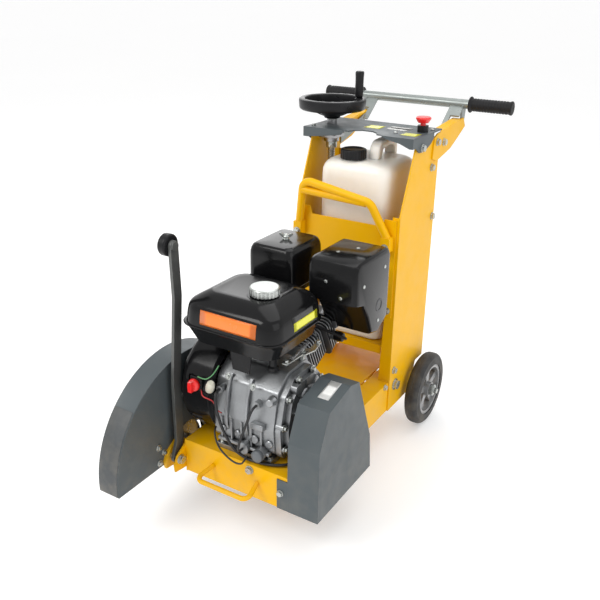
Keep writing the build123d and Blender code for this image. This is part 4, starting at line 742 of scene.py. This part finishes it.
def dash_film(name, x0, x1, y0, y1, look, slot):
    film(name, [[dash_point(lerp(x0, x1, s), lerp(y0, y1, t)) for s in steps] for t in steps],
         look, slot)


dash_film("dash_label_left", -24, 22, 270, 312, LABEL["yellow"], "yellow_paint")
dash_film("dash_plate", 36, 98, 282, 326, LABEL["silver"], "zinc")
dash_film("dash_plate_band", 40, 94, 298, 310, LABEL["black"], "black_paint")
dash_film("dash_label_right", 104, 148, 222, 262, LABEL["yellow"], "yellow_paint")
bm = bmesh.new()
for x, y in ((-146, 214), (-148, 300), (84, 240), (146, 338)):
    lathe(bm, [(0, 6), (1, 6), (3.4, 4.4), (4, 2)], dash_point(x, y), (0, 0.1, 1), 18)
place("dash_screws", bm, "frame", "zinc")

# white blank film on the sloping top of the belt guard
film("guard_label", [[(lerp(180, 208, s), y, lerp(385, 407, (y + 338) / 96) + 0.3) for s in steps]
                     for y in (-304, -284, -263, -243.5)], LABEL["white"], "tank_plastic")

# ---------------------------------------------------------------- engine details
SHAFT = (-250, 337)
bm = bmesh.new()
for y, z in ((-338, 250), (-342, 310), (-322, 374), (-282, 408), (-220, 408), (-178, 366), (-174, 300),
             (-174, 240)):
    hexagon(bm, (117, y, z), (1, 0, 0), 10, 6)
for x, y in ((-30, -350), (40, -352)):
    hexagon(bm, (x, y, 404 if x < 0 else 398), (0, -1, 0.3), 9, 5)
place("cover_bolts", bm, "frame", "zinc")
bm = bmesh.new()
# webs of the side cover, spread from the shaft boss, and its ball bearing bulge
for k in range(9):
    t = radians(20 + 40 * k)
    u, v = Vector((0, cos(t), sin(t))), Vector((0, -sin(t), cos(t)))
    base = Vector((0, *SHAFT))
    ring = [base + u * a + v * b for a, b in ((34, -2.6), (62, -1.8), (66, 0), (62, 1.8), (34, 2.6))]
    skin(bm, [[p + Vector((x, 0, 0)) for p in ring] for x in (122, 128)])
lathe(bm, [(0, 44), (5, 43), (9, 38), (10, 34)], (122, *SHAFT), (1, 0, 0), 48)
lathe(bm, [(0, 17), (3, 17), (5, 14), (5.5, 8)], (122, -296, 262), (1, 0, 0), 32)
# front face: rounded ridges and a boss row
for x in (-34, 22):
    profile = [(-353, 262), (-357, 280), (-358.5, 320), (-352, 360), (-340, 390), (-330, 404),
               (-326, 400), (-346, 350), (-350, 290)]
    prism(bm, profile, on_yz, x - 3.4, x + 3.4)
for x, z, r in ((-46, 262, 9), (44, 262, 11), (84, 262, 10), (-4, 262, 8), (86, 372, 10)):
    lathe(bm, [(0, r + 2), (8, r), (16, r), (18, r - 2)], (x, -340, z), (0, -1, 0), 24)
block(bm, (-58, -362, 232), (88, -348, 240), 2.5)
block(bm, (40, -366, 296), (74, -348, 312), 3)
place("crankcase_ribs", bm, "frame", "cast_aluminium", angle=40)
bm = bmesh.new()
lathe(bm, [(0, 14), (2, 15), (10, 15), (13, 12), (14, 8)], (66, -370, 236), (0, -1, 0), 12)
place("oil_plug", bm, "frame", "grey_paint",
      look=finish("grey_nylon", (0.12, 0.13, 0.14), 0.45, spread=0.1))
bm = bmesh.new()
lathe(bm, [(0, 8), (1, 8), (3, 6.5), (3.2, 4)], (54, -357.6, 304), (0, -1, 0), 18)
place("paint_seal", bm, "frame", "grey_paint", look=LABEL["green"])

# governor linkage over the crankcase
bm = bmesh.new()
lathe(bm, [(0, 7), (26, 7), (27, 9), (33, 9)], (88, -222, 408), (0, 0, 1), 24)
prism(bm, [(76, -232), (102, -228), (110, -196), (100, -150), (90, -150), (94, -196), (76, -214)],
      on_xy, 441, 444)
prism(bm, [(84, -300), (98, -300), (101, -236), (86, -232)], on_xy, 446, 448.5)
hexagon(bm, (90, -222, 446), (0, 0, 1), 10, 6)
hexagon(bm, (96, -160, 444), (0, 0, 1), 8, 5)
hexagon(bm, (91, -292, 448), (0, 0, 1), 8, 5)
tube(bm, [(94, -156, 449), (70, -140, 470), (10, -118, 498), (-50, -104, 508), (-92, -110, 512)], 1.6, 8)
place("governor_linkage", bm, "frame", "zinc")
bm = bmesh.new()
coil = []
for k in range(161):
    t = k / 160
    turn = 2 * pi * 16 * t
    coil.append((98 - 12 * t + 4.2 * cos(turn), -282 + 96 * t, 456 + 4.2 * sin(turn)))
tube(bm, coil, 0.8, 6)
place("governor_spring", bm, "frame", "steel")

# cylinder: head bolts and gasket edges
tilt = radians(25)
out = Vector((0, cos(tilt), sin(tilt)))
across = Vector((0, -sin(tilt), cos(tilt)))
root = Vector((8, *SHAFT))


def on_head(u, v, w):
    """Point on the tilted cylinder: across the engine, across the bore and along it."""
    return root + Vector((u, 0, 0)) + across * v + out * w


bm = bmesh.new()
for side in (-1, 1):
    for lift in (-40, 40):
        hexagon(bm, on_head(side * 63, lift, 225), out, 11, 7)
        hexagon(bm, on_head(side * 56, lift * 1.1, 108), out, 10, 4)
for side in (-1, 1):
    for lift in (-34, 34):
        hexagon(bm, on_head(side * 42, lift * 0.9, 250.6), out, 8, 5)
place("head_bolts", bm, "frame", "zinc")
bm = bmesh.new()
prism(bm, rounded(124, 108, 15), on_head, 106.2, 108.4)
prism(bm, rounded(154, 106, 17), on_head, 181.4, 183.2)
place("gasket_edges", bm, "frame", "cast_iron")
bm = bmesh.new()
lathe(bm, [(0, 12), (2, 13), (14, 13), (22, 11), (24, 6)], (92, -66, 424), (1, 0, 0), 24)
place("spark_plug_cap", bm, "frame", "black_plastic")

# blower housing and starter cover: bolts and trim
bm = bmesh.new()
for k in range(4):
    t = radians(90 * k + 8)
    hexagon(bm, (-158.2, SHAFT[0] + 112 * cos(t), SHAFT[1] + 112 * sin(t)), (-1, 0, 0), 7, 3.6,
            washer=1.0)
for k in range(3):
    t = radians(90 + 120 * k)
    hexagon(bm, (-174, SHAFT[0] + 84 * cos(t), SHAFT[1] + 84 * sin(t)), (-1, 0, 0), 7, 4, washer=1.0)
place("blower_bolts", bm, "frame", "zinc")
bm = bmesh.new()
lathe(bm, [(0, 96.5), (3, 97.5), (7, 97.5), (9, 94)], (-166, *SHAFT), (-1, 0, 0), 64)
lathe(bm, [(0, 30), (3, 30), (6, 26), (6.5, 12)], (-181, *SHAFT), (-1, 0, 0), 40)
for x in (-128, -90):
    block(bm, (x, -377, 352), (x + 2, -368, 392), 0.8)
place("blower_trim", bm, "frame", "black_paint")

# stop switch with its plate and wires
bm = bmesh.new()
lathe(bm, [(0, 14), (3, 15.4), (8, 15.4), (11, 13), (12, 11)], (-108, -375.9, 372), (0, -1, 0), 32)
prism(bm, [(-5, -13), (5, -13), (6, 0), (4.5, 13), (-4.5, 13), (-6, 0)],
      lambda u, v, w: (-108 + u, w, 372 + v), -397.5, -386)
place("switch_knob", bm, "engine_switch", "red_plastic", stands_for=["engine_switch"], angle=40)
bm = bmesh.new()
block(bm, (-124, -375.4, 354), (-92, -370, 390), 2)
place("switch_base", bm, "frame", "black_plastic")
bm = bmesh.new()
lathe(bm, [(0, 8), (2, 10), (18, 11), (34, 9), (40, 6)], (-74, -366, 362), (0.35, -0.3, 0.62), 24)
place("cream_connector", bm, "frame", "tank_plastic", look=LABEL["cream"])
soft_line("switch_wire_green",
          [(-100, -373, 391), (-98, -380, 398), (-84, -384, 399), (-70, -382, 398), (-58, -374, 408),
           (-54, -362, 420), (-52, -356, 428)],
          1.3, LABEL["green_wire"])
soft_line("switch_wire_red",
          [(-92, -373, 362), (-86, -382, 356), (-76, -386, 352), (-66, -384, 350), (-58, -378, 345),
           (-52, -376, 336), (-50, -372, 318), (-46, -360, 306)],
          1.5, LABEL["red_wire"])
soft_line("fuel_line",
          [(-60, -200, 486), (-60, -200, 478), (-66, -188, 466), (-82, -160, 462), (-96, -130, 470),
           (-94, -112, 480), (-93, -100, 487)],
          3.0, LOOK["rubber"])
soft_line("spark_lead",
          [(-73, -190, 430), (-60, -176, 452), (-20, -150, 474), (40, -120, 468), (104, -98, 446),
           (126, -80, 430), (124, -68, 424), (116, -66, 424)],
          3.4, LOOK["rubber"])
soft_line("harness_loop",
          [(-64, -359, 262), (-62, -370, 258), (-44, -386, 240), (-24, -392, 224), (10, -395, 210),
           (30, -392, 209), (34, -384, 214), (34, -371, 222)],
          2.2, LOOK["cable_jacket"])

# starter rope, straight from its guide to the handle
bm = bmesh.new()
rope_low, rope_high = Vector((-170, -190.2, 430.5)), Vector((-170, -188.7, 443.5))
tube(bm, [rope_low.lerp(rope_high, k / 40) for k in range(41)], 1.9, 10)
rope_end = place("starter_rope", bm, None, "cable_jacket")
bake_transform(rope_end)
bm = bmesh.new()
lathe(bm, [(-17, 3), (-16.4, 6), (-14, 7.6), (-8, 8), (-2, 7.6), (2, 7.6), (8, 8), (14, 7.6),
           (16.4, 6), (17, 3)], (-170, -188, 450), (1, 0, 0), 24)
lathe(bm, [(0, 6), (2, 6.4), (8, 5.6), (11, 7)], (-170, -190, 434.8), (0, 0.15, 1), 20)
place("starter_grip", bm, "starter_handle", "black_plastic", stands_for=["starter_handle"], angle=50)
bm = bmesh.new()
lathe(bm, [(0, 12), (28, 11), (34, 11), (36.5, 9), (36.6, 4)], (-170, -196, 397), (0, 0.16, 1), 24)
place("rope_guide", bm, "frame", "black_paint")

# ---------------------------------------------------------------- wheels
REAR_AXLE = (334, 110)
bm = bmesh.new()
for side in (-1, 1):
    hexagon(bm, (side * 218.4, *REAR_AXLE), (side, 0, 0), 15, 9, washer=1.5)
place("axle_nuts", bm, "yoke", "zinc")
for side, body in ((-1, "rear_wheel_left"), (1, "rear_wheel_right")):
    name = "left" if side < 0 else "right"
    bm = bmesh.new()
    outer, inner = 208.0, 166.0
    profile = [(inner, 78), (inner, 84), (inner + 0.6, 90), (inner + 1.6, 96), (inner + 1.0, 99),
               (inner + 3.4, 103.5), (inner + 7, 107.4), (inner + 11, 109.4), (inner + 15, 110),
               (inner + 19.6, 110), (inner + 20.3, 109.3), (inner + 21.7, 109.3), (inner + 22.4, 110),
               (outer - 15, 110), (outer - 11, 109.4), (outer - 7, 107.4), (outer - 3.4, 103.5),
               (outer - 1.0, 99), (outer - 1.6, 96), (outer - 0.6, 90), (outer, 84), (outer, 78)]
    u, v = frame_at((side, 0, 0))
    loops = [[Vector((side * x, *REAR_AXLE)) + r * (cos(t) * u + sin(t) * v) for x, r in profile]
             for t in (2 * pi * k / 96 for k in range(97))]
    skin(bm, loops, caps=False)
    bmesh.ops.remove_doubles(bm, verts=bm.verts, dist=0.001)
    place("rear_tread_" + name, bm, body, "tyre", stands_for=["rear_tyre_" + name], angle=30)

# ---------------------------------------------------------------- welds
def weld(bm, start, end, size=2.6, step=3.2):
    """Rippled bead along a joint."""
    a, b = Vector(start), Vector(end)
    count = max(3, int((b - a).length / step) * 4)
    u, v = frame_at(b - a)
    loops = []
    for k in range(count + 1):
        r = size * (0.82 + 0.18 * abs(sin(pi * k / 4)))
        p = a.lerp(b, k / count)
        loops.append([p + r * (cos(t) * u + sin(t) * v) for t in (2 * pi * i / 8 for i in range(8))])
    skin(bm, loops)


bm = bmesh.new()
for side in (-1, 1):
    weld(bm, (side * 147, 146, 206), (side * 120, 146, 206), 2.2)
weld(bm, (-146, -375.5, 118), (-146, -375.5, 160), 1.6)
weld(bm, (-152, -370, 126), (-152, -370, 188), 2.2)
place("frame_welds", bm, "frame", "yellow_paint", angle=60)
bm = bmesh.new()
for side in (-1, 1):
    for y in (541, 557):
        weld(bm, (side * 152 - 2.5, y, 908), (side * 152 + 2.5, y, 908), 2.6, 1.2)
place("bar_welds", bm, "frame", "zinc", angle=60)

# ---------------------------------------------------------------- floor
FLOOR_HALF = 60000
bm = bmesh.new()
bmesh.ops.create_grid(bm, x_segments=2, y_segments=2, size=FLOOR_HALF)
mesh = bpy.data.meshes.new("floor")
bmesh.ops.scale(bm, vec=(MM, MM, MM), verts=bm.verts)
bm.to_mesh(mesh)
bm.free()
floor = bpy.data.objects.new("floor", mesh)
paper = finish("floor_paper", (0.80, 0.80, 0.80), 0.75, spread=0.01, bump=0.02, grain=80, patch=0.6,
               specular=0.2)
paper_shader = next(node for node in paper.node_tree.nodes if node.type == "BSDF_PRINCIPLED")
paper_shader.inputs["Emission Color"].default_value = (1, 1, 1, 1)
paper_shader.inputs["Emission Strength"].default_value = 0.3
mesh.materials.append(paper)
bpy.context.collection.objects.link(floor)
